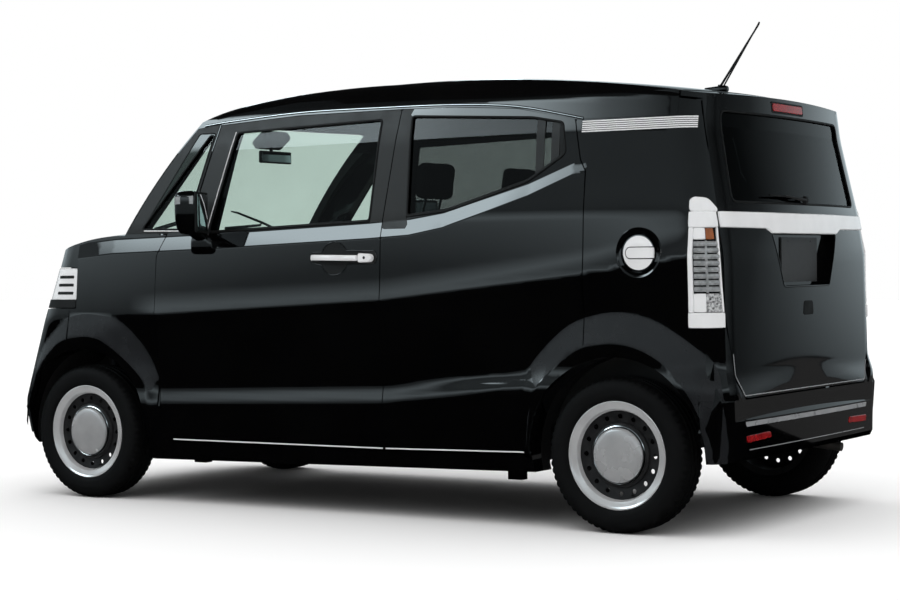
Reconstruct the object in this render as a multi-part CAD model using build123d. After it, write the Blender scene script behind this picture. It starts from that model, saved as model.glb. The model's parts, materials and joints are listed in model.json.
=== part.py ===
from build123d import *
import math
import os

# Small five-door kei car with flared arches, steel wheels with trim rings, and a top-hung tailgate.
# +X is forward, +Y is the car's left, +Z is up; the origin is on the ground at the middle of its box.

# Driving dimensions, in millimetres
LENGTH = 3395
FRONT_AXLE_X = 1262.5
REAR_AXLE_X = -1257.5
TYRE_RADIUS = 278.5
AXLE_Z = TYRE_RADIUS
TYRE_WIDTH = 155
TRACK_HALF = 652.5
BEAD_RADIUS = 178
FLANGE_RADIUS = 194
ARCH_RADIUS = 350
FLARE_OUT = 15
FLARE_LIP_Y = (712, 738)
FLARE_END_X = -1690
KINGPIN_Y = 545
FRONT_WELL_Y = 400
REAR_WELL_Y = 560
TUB_WALL = 8
WALL = 60
PILLAR_WALL = 38
ROOF_WALL = 38
BONNET_WALL = 26
SCREEN_WALL = 46
DOOR_GAP = 8
SEAM = 3
GLASS_INSET = 6
GLASS_THICK = 5
GLASS_EDGE = 2
X_END = 1760
Y_END = 760
Z_END = 1760
CROWN_Y = 600
MID_X = -200

# Plan outlines of the body at its creases, each on a plane that rises along the car. Columns: z at the
# front end, z at the rear end, half-width at MID_X, at the front corner and at the rear corner, front
# end x, front crown, front corner radius, rear end x, rear crown, rear corner radius
LEVELS = [
    (140, 140, 700, 690, 690, 1620, 45, 90, -1640, 20, 90),
    (238, 285, 722, 716, 714, 1672, 48, 90, -1697.5, 12, 90),
    (371, 476, 735, 731, 730, 1697.5, 55, 72, -1697.5, 12, 95),
    (445, 548, 724, 722, 722, 1692, 58, 84, -1684, 16, 105),
    (690, 988, 737.5, 727, 730, 1623, 68, 112, -1684, 24, 120),
    (1120, 1150, 727, 700, 718, 1500, 70, 120, -1675, 38, 120),
    (1430, 1440, 690, 640, 680, 1300, 70, 110, -1614, 34, 110),
    (1560, 1570, 664, 612, 652, 1200, 60, 100, -1606, 34, 105),
    (1640, 1640, 634, 580, 615, 1100, 60, 90, -1590, 34, 95),
    (1700, 1700, 545, 500, 530, 1000, 60, 80, -1560, 34, 85),
]
BELT_LEVELS = 6

# Side profile: each point as (x, z) on the centre line and (x, z) at CROWN_Y
BOTTOM = [((X_END, 214), (X_END, 226)), ((1500, 200), (1500, 204)), ((900, 177), (900, 177)),
          ((-950, 204), (-950, 204)), ((-1150, 236), (-1150, 236)), ((-X_END, 270), (-X_END, 270))]
ROOF_TAIL = ((-X_END, 1533), (-X_END, 1516))
ROOF_REAR = ((-1010, 1645), (-1010, 1629))
ROOF_TOP = ((-250, 1670), (-250, 1655))
ROOF_MID = ((205, 1657), (180, 1642))
ROOF_FRONT = ((540, 1628), (458, 1612))
HEADER_MID = ((670, 1606), (588, 1589))
HEADER = ((778, 1574), (693, 1557))
SCREEN_MID = ((1003, 1366), (905, 1345))
COWL = ((1205, 1126), (1092, 1106))
BONNET_MID = ((1400, 1098), (1290, 1087))
NOSE_TOP = ((1512, 1052), (1440, 1044))
NOSE_MID = ((1551, 1014), (1490, 1012))
NOSE_END = ((1570, 950), (1516, 950))
NOSE_OUT = ((X_END, 945), (X_END, 945))

# Flares round the wheel openings in side view. Columns: x, z at the flare's outer edge, x, z at the ridge
# where its sloping face ends
FRONT_FLARE = [
    (846, 262, 893, 262), (848, 400, 898, 400), (854, 506, 915, 479), (881, 572, 959, 529),
    (934, 655, 1047, 603), (1050, 756, 1159, 670), (1225, 776, 1238, 680), (1338, 765, 1330, 671),
    (1425, 710, 1397, 654), (1500, 640, 1460, 606), (1570, 540, 1520, 546), (1610, 420, 1565, 430),
    (1625, 262, 1585, 262),
]
REAR_FLARE = [
    (-868, 262, -893, 262), (-872, 420, -912, 420), (-888, 573, -942, 520), (-978, 669, -1018, 590),
    (-1082, 752, -1122, 663), (-1249, 794, -1262, 681), (-1403, 768, -1362, 659), (-1545, 688, -1456, 608),
    (-1649, 602, -1555, 502), (-1673, 500, -1600, 405), (-1681, 406, -1618, 330), (-1684, 262, -1625, 262),
]

# Where the body parts: the plane between the sides and the floor or roof, and the other cuts
SPLIT_Y = 590
FLARE_Y = 650
SPLIT_ROOF_Z = 1575
ROOF_LOW_Z = 1480
COWL_Z = 1104
FENDER_X = 862
FENDER_TOP_X = 1063
BUMPER_X = 1345
BUMPER_Z = 795
NOSE_Z = 972
FLOOR_Z = 296
FLOOR_LOW_Z = 236
BOOT_Z = 420
BOOT_LOW_Z = 370
BOOT_X = -900
FIREWALL_X = (1010, 1060)

# Side view outlines, as (x, z)
PILLAR_LINE = [(-257, 262), (-265, 830), (-267, 1127), (-323, 1552)]
FRONT_DOOR = ([(798, 258), (836, 320), (852, 520), (856, 900), (852, 1010), (806, 1104), (694, 1108),
               (572, 1534), (170, 1553)] + [(x + DOOR_GAP / 2, z) for x, z in reversed(PILLAR_LINE)])
REAR_DOOR = ([(x - DOOR_GAP / 2, z) for x, z in PILLAR_LINE] +
             [(-560, 1548), (-836, 1529), (-1080, 1480), (-1110, 1330), (-1134, 1290), (-1134, 664),
              (-1070, 628), (-980, 548), (-924, 474), (-898, 400), (-886, 272)])
FRONT_WINDOW = [(588, 1106), (482, 1502), (-236, 1520), (-206, 1134)]
REAR_WINDOW = [(-378, 1150), (-375, 1526), (-905, 1496), (-1035, 1472), (-1052, 1360), (-900, 1266), (-560, 1168)]
QUARTER_WINDOW = [(952, 1122), (712, 1118), (606, 1496), (628, 1498)]
B_PILLAR = [(-190, 280), (-200, 1127), (-258, 1590), (-378, 1590), (-335, 1127), (-330, 280)]
TAILGATE_TOP = [(-1557, 1150), (-1590, 1423), (-1594, 1530), (-1490, 1545), (-1490, Z_END),
                (-X_END, Z_END), (-X_END, 1150)]

# Rear and front view outlines of the left half, as (y, z), and the lamps
TAILGATE_LOW = [(612, 1540), (640, 1165), (655, 1142), (655, 780), (640, 690), (612, 560), (556, 486)]
TAILGATE_X = -1530
BACK_WINDOW = [(560, 1172), (528, 1496)]
PLATE_RECESS = [(300, 1062), (213, 868)]
WINDSCREEN = [(588, 1118), (546, 1560)]
TAIL_LAMP = (662, -1550, 736, 1134)
HEADLAMP = (400, 1305, 798, 966)
LAMP_DEPTH = 40
GRILLE_Z = (800, 964)
INTAKE = (330, 420, 560)

# Moving lids
BONNET_HALF = 556
BONNET_BACK_X = (1222, 1121)
FUEL_LID = (-1358, 996, 64)
STEERING_WHEEL = (600, -340, 965)
STEERING_TILT = 27
SPINDLE_RADIUS = 25
WHEEL_HOLES = 16
TOW_EYE = (1560, -345, 184, 16)
JACK_X = (700, -800)
JACK_Y = (620, 660)
JACK_Z = 166
ANTENNA = (-1330, -1499, 1863)
MIRROR_HEAD = (100, 160, 176)
MIRROR_AT = (598, 822, 1180)
MIRROR_TURN = 23
MIRROR_EDGE = 24
MIRROR_FOOT = (546, 664, 768, 1016, 1102)


def at_level(level, x, y):
    """A point of a plan outline, on the level's own rising plane."""
    front_z, rear_z = level[0], level[1]
    return Vector(x, y, rear_z + (front_z - rear_z) * (x / LENGTH + 0.5))


def plan_outline(level, inset):
    """Closed outline of the body at one level, taken in by inset: an arc for each corner and each side."""
    _, _, mid_w, front_w, rear_w, front_x, front_crown, front_r, rear_x, rear_crown, rear_r = level
    mid_w, front_w, rear_w = mid_w - inset, front_w - inset, rear_w - inset
    front_x, rear_x = front_x - inset, rear_x + inset
    front_r, rear_r = max(front_r - inset, 18), max(rear_r - inset, 18)
    front_cx, rear_cx = front_x - front_crown - front_r, rear_x + rear_crown + rear_r
    diag_f, diag_r = front_r * math.sqrt(0.5), rear_r * math.sqrt(0.5)
    front_left = [(front_cx + front_r, front_w - front_r), (front_cx + diag_f, front_w - front_r + diag_f),
                  (front_cx, front_w)]
    rear_left = [(rear_cx, rear_w), (rear_cx - diag_r, rear_w - rear_r + diag_r),
                 (rear_cx - rear_r, rear_w - rear_r)]

    def arc(*points):
        return Edge.make_three_point_arc(*[at_level(level, x, y) for x, y in points])

    def mirrored(points):
        return [(x, -y) for x, y in reversed(points)]

    front_right, rear_right = mirrored(front_left), mirrored(rear_left)
    return Wire([
        arc(*front_left), arc(front_left[2], (MID_X, mid_w), rear_left[0]), arc(*rear_left),
        arc(rear_left[2], (rear_x, 0), rear_right[0]), arc(*rear_right),
        arc(rear_right[2], (MID_X, -mid_w), front_right[0]), arc(*front_right),
        arc(front_right[2], (front_x, 0), front_left[0]),
    ])


def plan_body(low_inset, high_inset=None):
    """The body's plan shape through every level: its sides, nose and tail, open above and below."""
    high_inset = low_inset if high_inset is None else high_inset
    insets = [low_inset if i < BELT_LEVELS else high_inset for i in range(len(LEVELS))]
    return Solid.make_loft([plan_outline(v, t) for v, t in zip(LEVELS, insets)], ruled=True)


def crowned(pair, y, dx=0, dz=0):
    """A profile point at a distance y from the centre line, on the crown's parabola."""
    (x0, z0), (x1, z1) = pair
    share = (y / CROWN_Y) ** 2
    return Vector(x0 + (x1 - x0) * share + dx, y, z0 + (z1 - z0) * share + dz)


def profile_wire(y, drop, screen_back):
    """Closed side profile at y, lowered by drop and with the windscreen set back, for an inner surface."""
    bottom = [crowned(p, y) for p in BOTTOM]
    tail, rear, top, mid, front = [crowned(p, y, 0, -drop)
                                   for p in (ROOF_TAIL, ROOF_REAR, ROOF_TOP, ROOF_MID, ROOF_FRONT)]
    header_mid = crowned(HEADER_MID, y, -screen_back * 0.35, -drop)
    header = crowned(HEADER, y, -screen_back, -drop)
    screen, cowl = crowned(SCREEN_MID, y, -screen_back), crowned(COWL, y, -screen_back)
    bonnet = crowned(BONNET_MID, y, 0, -drop)
    nose_top, nose_mid = crowned(NOSE_TOP, y, -drop, -drop), crowned(NOSE_MID, y, -drop, -drop)
    nose_end, nose_out = crowned(NOSE_END, y, -drop), crowned(NOSE_OUT, y)
    edges = [Edge.make_line(a, b) for a, b in zip(bottom, bottom[1:])]
    edges += [
        Edge.make_line(bottom[-1], tail),
        Edge.make_three_point_arc(tail, rear, top),
        Edge.make_three_point_arc(top, mid, front),
        Edge.make_three_point_arc(front, header_mid, header),
        Edge.make_three_point_arc(header, screen, cowl),
        Edge.make_three_point_arc(cowl, bonnet, nose_top),
        Edge.make_three_point_arc(nose_top, nose_mid, nose_end),
        Edge.make_line(nose_end, nose_out),
        Edge.make_line(nose_out, bottom[0]),
    ]
    return Wire(edges)


def profile_body(drop=0, screen_back=0):
    """The side profile carried across the car with its crown."""
    return Solid.make_loft([profile_wire(y, drop, screen_back) for y in (-Y_END, 0, Y_END)])


def prism(corners, travel, grow=0, rounding=0):
    """A prism on a flat outline of 3-D corners, grown outwards by grow and carried along travel."""
    wire = Wire(Polyline(*corners, close=True).edges())
    face = Face(wire)
    if grow:
        face = Face(wire.offset_2d(grow, Kind.INTERSECTION))
    if rounding:
        face = face.fillet_2d(rounding, face.vertices())
    return Solid.extrude(face, Vector(*travel))


def side_prism(points, y_low, y_high, grow=0, rounding=0):
    """A prism across the car from an outline in the side view."""
    return prism([(x, y_low, z) for x, z in points], (0, y_high - y_low, 0), grow, rounding)


def both_halves(points):
    """A left half outline closed with its mirror image."""
    return points + [(-y, z) for y, z in reversed(points)]


def end_prism(half_points, x_low, x_high, grow=0, rounding=0):
    """A prism along the car, symmetric about the centre line, from half an outline in the end view."""
    corners = [(x_low, y, z) for y, z in both_halves(half_points)]
    return prism(corners, (x_high - x_low, 0, 0), grow, rounding)


def block(x_low, x_high, y_low, y_high, z_low, z_high):
    """A box between limits."""
    middle = Pos((x_low + x_high) / 2, (y_low + y_high) / 2, (z_low + z_high) / 2)
    return middle * Box(x_high - x_low, y_high - y_low, z_high - z_low)


def rod(start, end, radius):
    """A round bar between two points."""
    start, end = Vector(*start), Vector(*end)
    return Solid.make_cylinder(radius, (end - start).length, Plane(start, z_dir=end - start))


def across(x, z, radius, y_low, y_high):
    """A round bar along Y."""
    return rod((x, y_low, z), (x, y_high, z), radius)


def mirror_y(shape):
    return mirror(shape, about=Plane.XZ)


def pair(shape):
    """A left shape with its right twin, as one list."""
    return [shape, mirror_y(shape)]


def write(name, shape, smallest=3000):
    """Write a node, leaving out crumbs of a cut smaller than smallest cubic millimetres."""
    shapes = shape if isinstance(shape, list) else [shape]
    solids = [s for item in shapes for s in item.solids() if s.volume > smallest]
    export_step(solids[0] if len(solids) == 1 else Compound(solids), f"parts/{name}.step")


def well(axle_x, inner_y, grow):
    """The left wheel's space in the body, grown for the tub's outside."""
    return across(axle_x, AXLE_Z, ARCH_RADIUS + grow, inner_y - grow, Y_END)


def build_body():
    """The body shell before the doors and lids are cut from it, its wells, and its outer solid."""
    outer = plan_body(0) & profile_body()
    step_x = LEVELS[3][8]
    outer -= block(-X_END, step_x, -Y_END, Y_END, LEVELS[2][1] - 70, 700)
    cabin_view = [(FIREWALL_X[0], FLOOR_Z), (FIREWALL_X[0], 1075), (1180, 1110), (1180, Z_END), (-X_END, Z_END),
                  (-X_END, BOOT_Z), (BOOT_X, BOOT_Z), (BOOT_X + 60, FLOOR_Z)]
    cabin = plan_body(WALL, PILLAR_WALL) & profile_body(ROOF_WALL, SCREEN_WALL)
    cabin &= side_prism(cabin_view, -Y_END, Y_END)
    bay_view = [(FIREWALL_X[1], 0), (FIREWALL_X[1], 1048), (1180, 1082), (X_END, 1130), (X_END, 0)]
    bay = plan_body(WALL) & profile_body(BONNET_WALL) & side_prism(bay_view, -Y_END, Y_END)
    front_wells, rear_wells = pair(well(FRONT_AXLE_X, FRONT_WELL_Y, 0)), pair(well(REAR_AXLE_X, REAR_WELL_Y, 0))
    front_tubs = pair(well(FRONT_AXLE_X, FRONT_WELL_Y, TUB_WALL))
    rear_tubs = pair(well(REAR_AXLE_X, REAR_WELL_Y, TUB_WALL))
    for tub in front_tubs + rear_tubs:
        cabin -= tub
        bay -= tub
    shell = outer - cabin - bay
    for space in front_wells + rear_wells:
        shell -= space
    shell -= block(BOOT_X, FIREWALL_X[0], -SPLIT_Y, SPLIT_Y, 0, FLOOR_LOW_Z)
    shell -= block(-1637, BOOT_X, -SPLIT_Y, SPLIT_Y, 0, BOOT_LOW_Z)
    return outer, shell


def build_flares():
    """Flares round the wheel openings: a sloping face that rises to a ridge, and a flat lip inside it."""
    raised = plan_body(-FLARE_OUT)
    flares = []
    for axle_x, rows in ((FRONT_AXLE_X, FRONT_FLARE), (REAR_AXLE_X, REAR_FLARE)):
        outer = Polyline(*[(x, FLARE_LIP_Y[0], z) for x, z, _, _ in rows], close=True)
        ridge = Polyline(*[(x, FLARE_LIP_Y[1], z) for _, _, x, z in rows], close=True)
        flare = Solid.make_loft([Wire(outer.edges()), Wire(ridge.edges())], ruled=True)
        flare -= across(axle_x, AXLE_Z, ARCH_RADIUS, 600, Y_END)
        flares += pair(flare & raised & block(FLARE_END_X, X_END, FLARE_Y, Y_END, 0, 900))
    return flares


def build():
    os.makedirs("parts", exist_ok=True)
    outer, shell = build_body()
    for flare in build_flares():
        shell += flare

    # Tail lamps and headlamps, set into the skin
    inner_y, lamp_x, low_z, high_z = TAIL_LAMP
    core, pocket_core = plan_body(LAMP_DEPTH), plan_body(LAMP_DEPTH + SEAM)
    tail_zone = block(-X_END, lamp_x, inner_y, Y_END, low_z, high_z)
    tail_pocket = block(-X_END, lamp_x + SEAM, inner_y - SEAM, Y_END, low_z - SEAM, high_z + SEAM)
    tail_lamp = (outer & tail_zone) - core
    tail_space = tail_pocket - pocket_core
    inner_y, lamp_x, low_z, high_z = HEADLAMP
    head_zone = block(lamp_x, X_END, inner_y, Y_END, low_z, high_z)
    head_pocket = block(lamp_x - SEAM, X_END, inner_y - SEAM, Y_END, low_z - SEAM, high_z + SEAM)
    headlamp = (outer & head_zone) - core
    head_space = head_pocket - pocket_core
    write("tail_lamps", pair(tail_lamp))
    write("headlamps", pair(headlamp))
    for space in pair(tail_space) + pair(head_space):
        shell -= space

    # Grille between the headlamps, with slots through it
    grille_zone = block(1400, X_END, -inner_y + 2 * SEAM, inner_y - 2 * SEAM, *GRILLE_Z)
    grille = (outer & grille_zone) - plan_body(30)
    for row in range(4):
        slot_z = GRILLE_Z[0] + 24 + row * 34
        grille -= block(1400, X_END, -330, 330, slot_z, slot_z + 16)
    write("grille", grille)
    shell -= block(1400, X_END, -inner_y + SEAM, inner_y - SEAM, GRILLE_Z[0] - SEAM, GRILLE_Z[1] + SEAM)

    # Glass openings
    skins = plan_body(GLASS_INSET) - plan_body(GLASS_INSET + GLASS_THICK)
    windscreen = profile_body(0, GLASS_INSET) - profile_body(0, GLASS_INSET + GLASS_THICK)
    shell -= end_prism(WINDSCREEN, 640, 1300)
    front_glass = windscreen & end_prism(WINDSCREEN, 640, 1300, -GLASS_EDGE) & block(600, 1300, -Y_END, Y_END, 1100, 1600)
    quarter_cut = side_prism(QUARTER_WINDOW, 560, Y_END)
    quarter_glass = skins & side_prism(QUARTER_WINDOW, 560, Y_END, -GLASS_EDGE)
    for cut in pair(quarter_cut):
        shell -= cut
    write("front_glass", [front_glass] + pair(quarter_glass))

    # Tailgate with its glass and board
    gate_zone = side_prism(TAILGATE_TOP, -Y_END, Y_END) + end_prism(TAILGATE_LOW, -X_END, TAILGATE_X)
    gate_space = (side_prism(TAILGATE_TOP, -Y_END, Y_END, DOOR_GAP) +
                  end_prism(TAILGATE_LOW, -X_END, TAILGATE_X + DOOR_GAP, DOOR_GAP))
    tailgate = shell & gate_zone
    shell -= gate_space
    tailgate -= end_prism(BACK_WINDOW, -X_END, -1520)
    tailgate -= end_prism(PLATE_RECESS, -X_END, -1646)
    tailgate_glass = skins & end_prism(BACK_WINDOW, -X_END, -1520, -GLASS_EDGE)
    board = block(-1652, -1647, -165, 165, 884, 1049)
    holes = [rod((-1660, side * 105, 1035), (-1630, side * 105, 1035), 3) for side in (-1, 1)]
    for hole in holes:
        board -= hole
        tailgate -= hole
    write("tailgate", tailgate)
    write("tailgate_glass", tailgate_glass)
    write("licence_board", board)

    # Bonnet, with its back edge along the foot of the windscreen
    def bonnet_zone(grow):
        half = BONNET_HALF + grow
        back_mid, back_side = BONNET_BACK_X[0] - grow, BONNET_BACK_X[1] - grow
        low_z = NOSE_Z + DOOR_GAP - grow
        outline = Wire([
            Edge.make_three_point_arc((back_side, -half, low_z), (back_mid, 0, low_z), (back_side, half, low_z)),
            Edge.make_line((back_side, half, low_z), (X_END, half, low_z)),
            Edge.make_line((X_END, half, low_z), (X_END, -half, low_z)),
            Edge.make_line((X_END, -half, low_z), (back_side, -half, low_z)),
        ])
        return Solid.extrude(Face(outline), Vector(0, 0, 300))

    write("bonnet", shell & bonnet_zone(0))
    shell -= bonnet_zone(DOOR_GAP)

    # Doors and their glass, left and right
    inner_low = LEVELS[1][2] - WALL
    wedge_x, wedge_z = BOOT_X + 70, BOOT_Z + 10
    upper = (block(-X_END, X_END, 500, Y_END, FLOOR_Z + 4, Z_END) -
             block(-X_END, wedge_x, 0, inner_low + 4, 0, wedge_z))
    for name, outline, window in (("front", FRONT_DOOR, FRONT_WINDOW), ("rear", REAR_DOOR, REAR_WINDOW)):
        slab = side_prism(outline, 500, Y_END)
        low = (block(-X_END, X_END, inner_low + 4, Y_END, 0, FLOOR_Z + 4) +
               block(-X_END, wedge_x, inner_low + 4, Y_END, 0, wedge_z))
        door = (shell & slab & upper) + (shell & slab & low)
        door -= side_prism(window, 500, Y_END)
        glass = skins & side_prism(window, 500, Y_END, -GLASS_EDGE)
        for side, body, pane in (("left", door, glass), ("right", mirror_y(door), mirror_y(glass))):
            write(f"door_{name}_{side}", body)
            write(f"glass_{name}_{side}", pane)
        space = side_prism(outline, 500, Y_END, DOOR_GAP)
        low_space = (block(-X_END, X_END, inner_low - 4, Y_END, 0, FLOOR_Z + 4) +
                     block(-X_END, wedge_x, inner_low - 4, Y_END, 0, wedge_z))
        for cut in pair((space & upper) + (space & low_space)):
            shell -= cut

    # Fuel lid in its pocket on the left rear wing
    lid_x, lid_z, lid_r = FUEL_LID
    lid = across(lid_x, lid_z, lid_r, 716, 732)
    lid_pocket = across(lid_x, lid_z, lid_r + 6, 700, Y_END)
    write("fuel_lid", lid)
    shell -= lid_pocket

    # Wheelhouses
    tubs = []
    for axle_x, inner_y in ((FRONT_AXLE_X, FRONT_WELL_Y), (REAR_AXLE_X, REAR_WELL_Y)):
        zone = across(axle_x, AXLE_Z, ARCH_RADIUS + TUB_WALL + 2, inner_y - TUB_WALL - 2, FLARE_Y)
        window = block(axle_x - 115, axle_x + 115, inner_y - 30, inner_y + 5, 0, 430)
        tubs += pair((shell & zone) - window)
        for cut in pair(zone):
            shell -= cut
    write("wheelhouses", tubs)

    # The rest of the shell, parted where its panels meet
    roof_zone = (block(-X_END, 900, -Y_END, Y_END, SPLIT_ROOF_Z, Z_END) +
                 block(-X_END, 900, -SPLIT_Y, SPLIT_Y, ROOF_LOW_Z, Z_END))
    write("roof", shell & roof_zone)
    shell -= roof_zone
    front_bumper_zone = (block(BUMPER_X, X_END, -Y_END, Y_END, 0, BUMPER_Z) +
                         block(BUMPER_X, X_END, -BONNET_HALF, BONNET_HALF, BUMPER_Z, NOSE_Z))
    bumper = shell & front_bumper_zone
    shell -= block(BUMPER_X - SEAM, X_END, -Y_END, Y_END, 0, BUMPER_Z)
    shell -= front_bumper_zone
    intake_y, intake_low, intake_high = INTAKE
    bumper -= block(1500, X_END, -intake_y, intake_y, intake_low, intake_high)
    slats = [(outer & block(1500, X_END, -intake_y, intake_y, z, z + 10)) - plan_body(40)
             for z in range(intake_low + 30, intake_high - 20, 35)]
    for slat in slats:
        bumper += slat
    write("front_bumper", bumper)
    rear_bumper_zone = (block(-X_END, -1637, -Y_END, Y_END, 0, 478) +
                        block(-X_END, -1590, SPLIT_Y, Y_END, 0, 478) +
                        block(-X_END, -1590, -Y_END, -SPLIT_Y, 0, 478))
    rear_bumper = shell & rear_bumper_zone
    write("rear_bumper", rear_bumper)
    shell -= rear_bumper_zone
    wing_zone = (block(FENDER_X, X_END, SPLIT_Y, Y_END, 0, COWL_Z) +
                 block(FENDER_TOP_X, X_END, BONNET_HALF, Y_END, 0, 1200))
    wing = shell & wing_zone
    write("wing_left", wing)
    write("wing_right", mirror_y(wing))
    for cut in pair(wing_zone):
        shell -= cut
    pillar_skin = plan_body(WALL + 6, PILLAR_WALL + 6) - plan_body(WALL + 50, PILLAR_WALL + 36)
    pillar_foot = block(-330, -190, SPLIT_Y, inner_low - 4, 240, FLOOR_Z + 20)
    pillar_head = (plan_body(0, 20) - plan_body(WALL, PILLAR_WALL + 36)) & block(-400, -200, 560, Y_END, 1564, 1585)
    pillar = (pillar_skin & side_prism(B_PILLAR, 500, Y_END)) + pillar_foot + pillar_head
    pillar &= profile_body(10, 10)
    pillar -= block(-400, 0, 0, Y_END, SPLIT_ROOF_Z, Z_END)
    side_zone = block(-X_END, FENDER_TOP_X + 60, SPLIT_Y, Y_END, 0, SPLIT_ROOF_Z)
    for side, zone, post in (("left", side_zone, pillar), ("right", mirror_y(side_zone), mirror_y(pillar))):
        panel = (shell & zone) + post
        for x in JACK_X:
            ends = sorted((JACK_Y[0] if side == "left" else -JACK_Y[1], JACK_Y[1] if side == "left" else -JACK_Y[0]))
            panel += block(x - 30, x + 30, *ends, JACK_Z, JACK_Z + 40)
        write(f"side_{side}", panel)
    for cut in pair(side_zone):
        shell -= cut
    write("floor_pan", shell)
    build_antenna(outer)
    build_mirrors()


def build_antenna(outer):
    """Rod aerial leaning back from the middle of the roof's rear."""
    foot_x, tip_x, tip_z = ANTENNA
    foot = rod((foot_x + 4, 0, 1590), (foot_x - 12, 0, 1632), 15)
    mast = rod((foot_x, 0, 1600), (tip_x, 0, tip_z), 3)
    write("antenna", (foot + mast) - outer)


def build_mirrors():
    """Door mirrors, turned towards the driver, each on a foot below the window's front corner."""
    depth, width, height = MIRROR_HEAD
    head = Box(depth, width, height)
    head = Pos(*MIRROR_AT) * Rot(0, 0, MIRROR_TURN) * fillet(head.edges(), MIRROR_EDGE)
    low_x, high_x, out_y, low_z, high_z = MIRROR_FOOT
    foot = block(low_x, high_x, 680, out_y, low_z, high_z)
    outer_edges = foot.edges().filter_by(Axis.Z).sort_by(Axis.Y)[-2:] + foot.edges().filter_by(Axis.X).sort_by(Axis.Y)[-2:]
    foot = fillet(outer_edges, 14)
    neck = rod((612, 740, high_z - 30), (604, 806, MIRROR_AT[2] - height / 2 + 18), 24)
    stalk = (foot + neck) - plan_body(-0.3)
    stalk = max(stalk.solids(), key=lambda s: s.volume)
    for side, body in (("left", head + stalk), ("right", mirror_y(head + stalk))):
        write(f"mirror_{side}", body)


def turned(points, axle_x, side):
    """A solid turned about a wheel's axle from (radius, distance out from the tyre's middle) points."""
    outline = Polyline(*[(r, side * y) for r, y in points], close=True)
    spun = revolve(make_face(outline.edges()), Axis.Y, 360)
    return Pos(axle_x, side * TRACK_HALF, AXLE_Z) * spun


def build_wheels():
    """Tyres, and steel wheels with their hub covers."""
    half = TYRE_WIDTH / 2
    shoulder = [(TYRE_RADIUS, 48), (272, 62), (252, 74), (228, half), (206, 72), (196, 60), (BEAD_RADIUS + 0.4, 57)]
    tyre = shoulder + [(r, -y) for r, y in reversed(shoulder)]
    barrel_inner = BEAD_RADIUS - 10
    wheel = [(0, 8), (55, 8), (55, 26), (barrel_inner, 34), (barrel_inner, -60), (FLANGE_RADIUS, -66),
             (FLANGE_RADIUS, -62), (BEAD_RADIUS, -60), (BEAD_RADIUS, 60), (FLANGE_RADIUS, 62), (FLANGE_RADIUS, 68),
             (barrel_inner - 2, 60), (barrel_inner - 6, 42), (116, 36), (114, 44), (100, 48), (97, 58), (60, 66),
             (0, 68)]
    for front, axle_x in (("front", FRONT_AXLE_X), ("rear", REAR_AXLE_X)):
        for side_name, side in (("left", 1), ("right", -1)):
            write(f"tyre_{front}_{side_name}", turned(tyre, axle_x, side))
            rim = turned(wheel, axle_x, side)
            ends = sorted((side * (TRACK_HALF + 2), side * (TRACK_HALF + 24)))
            rim -= across(axle_x, AXLE_Z, SPINDLE_RADIUS + 0.3, *ends)
            for k in range(WHEEL_HOLES):
                angle = 2 * math.pi * k / WHEEL_HOLES
                x, z = axle_x + 138 * math.cos(angle), AXLE_Z + 138 * math.sin(angle)
                hole = sorted((side * (TRACK_HALF + 15), side * (TRACK_HALF + 60)))
                rim -= across(x, z, 9, *hole)
            write(f"wheel_{front}_{side_name}", rim)


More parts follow.
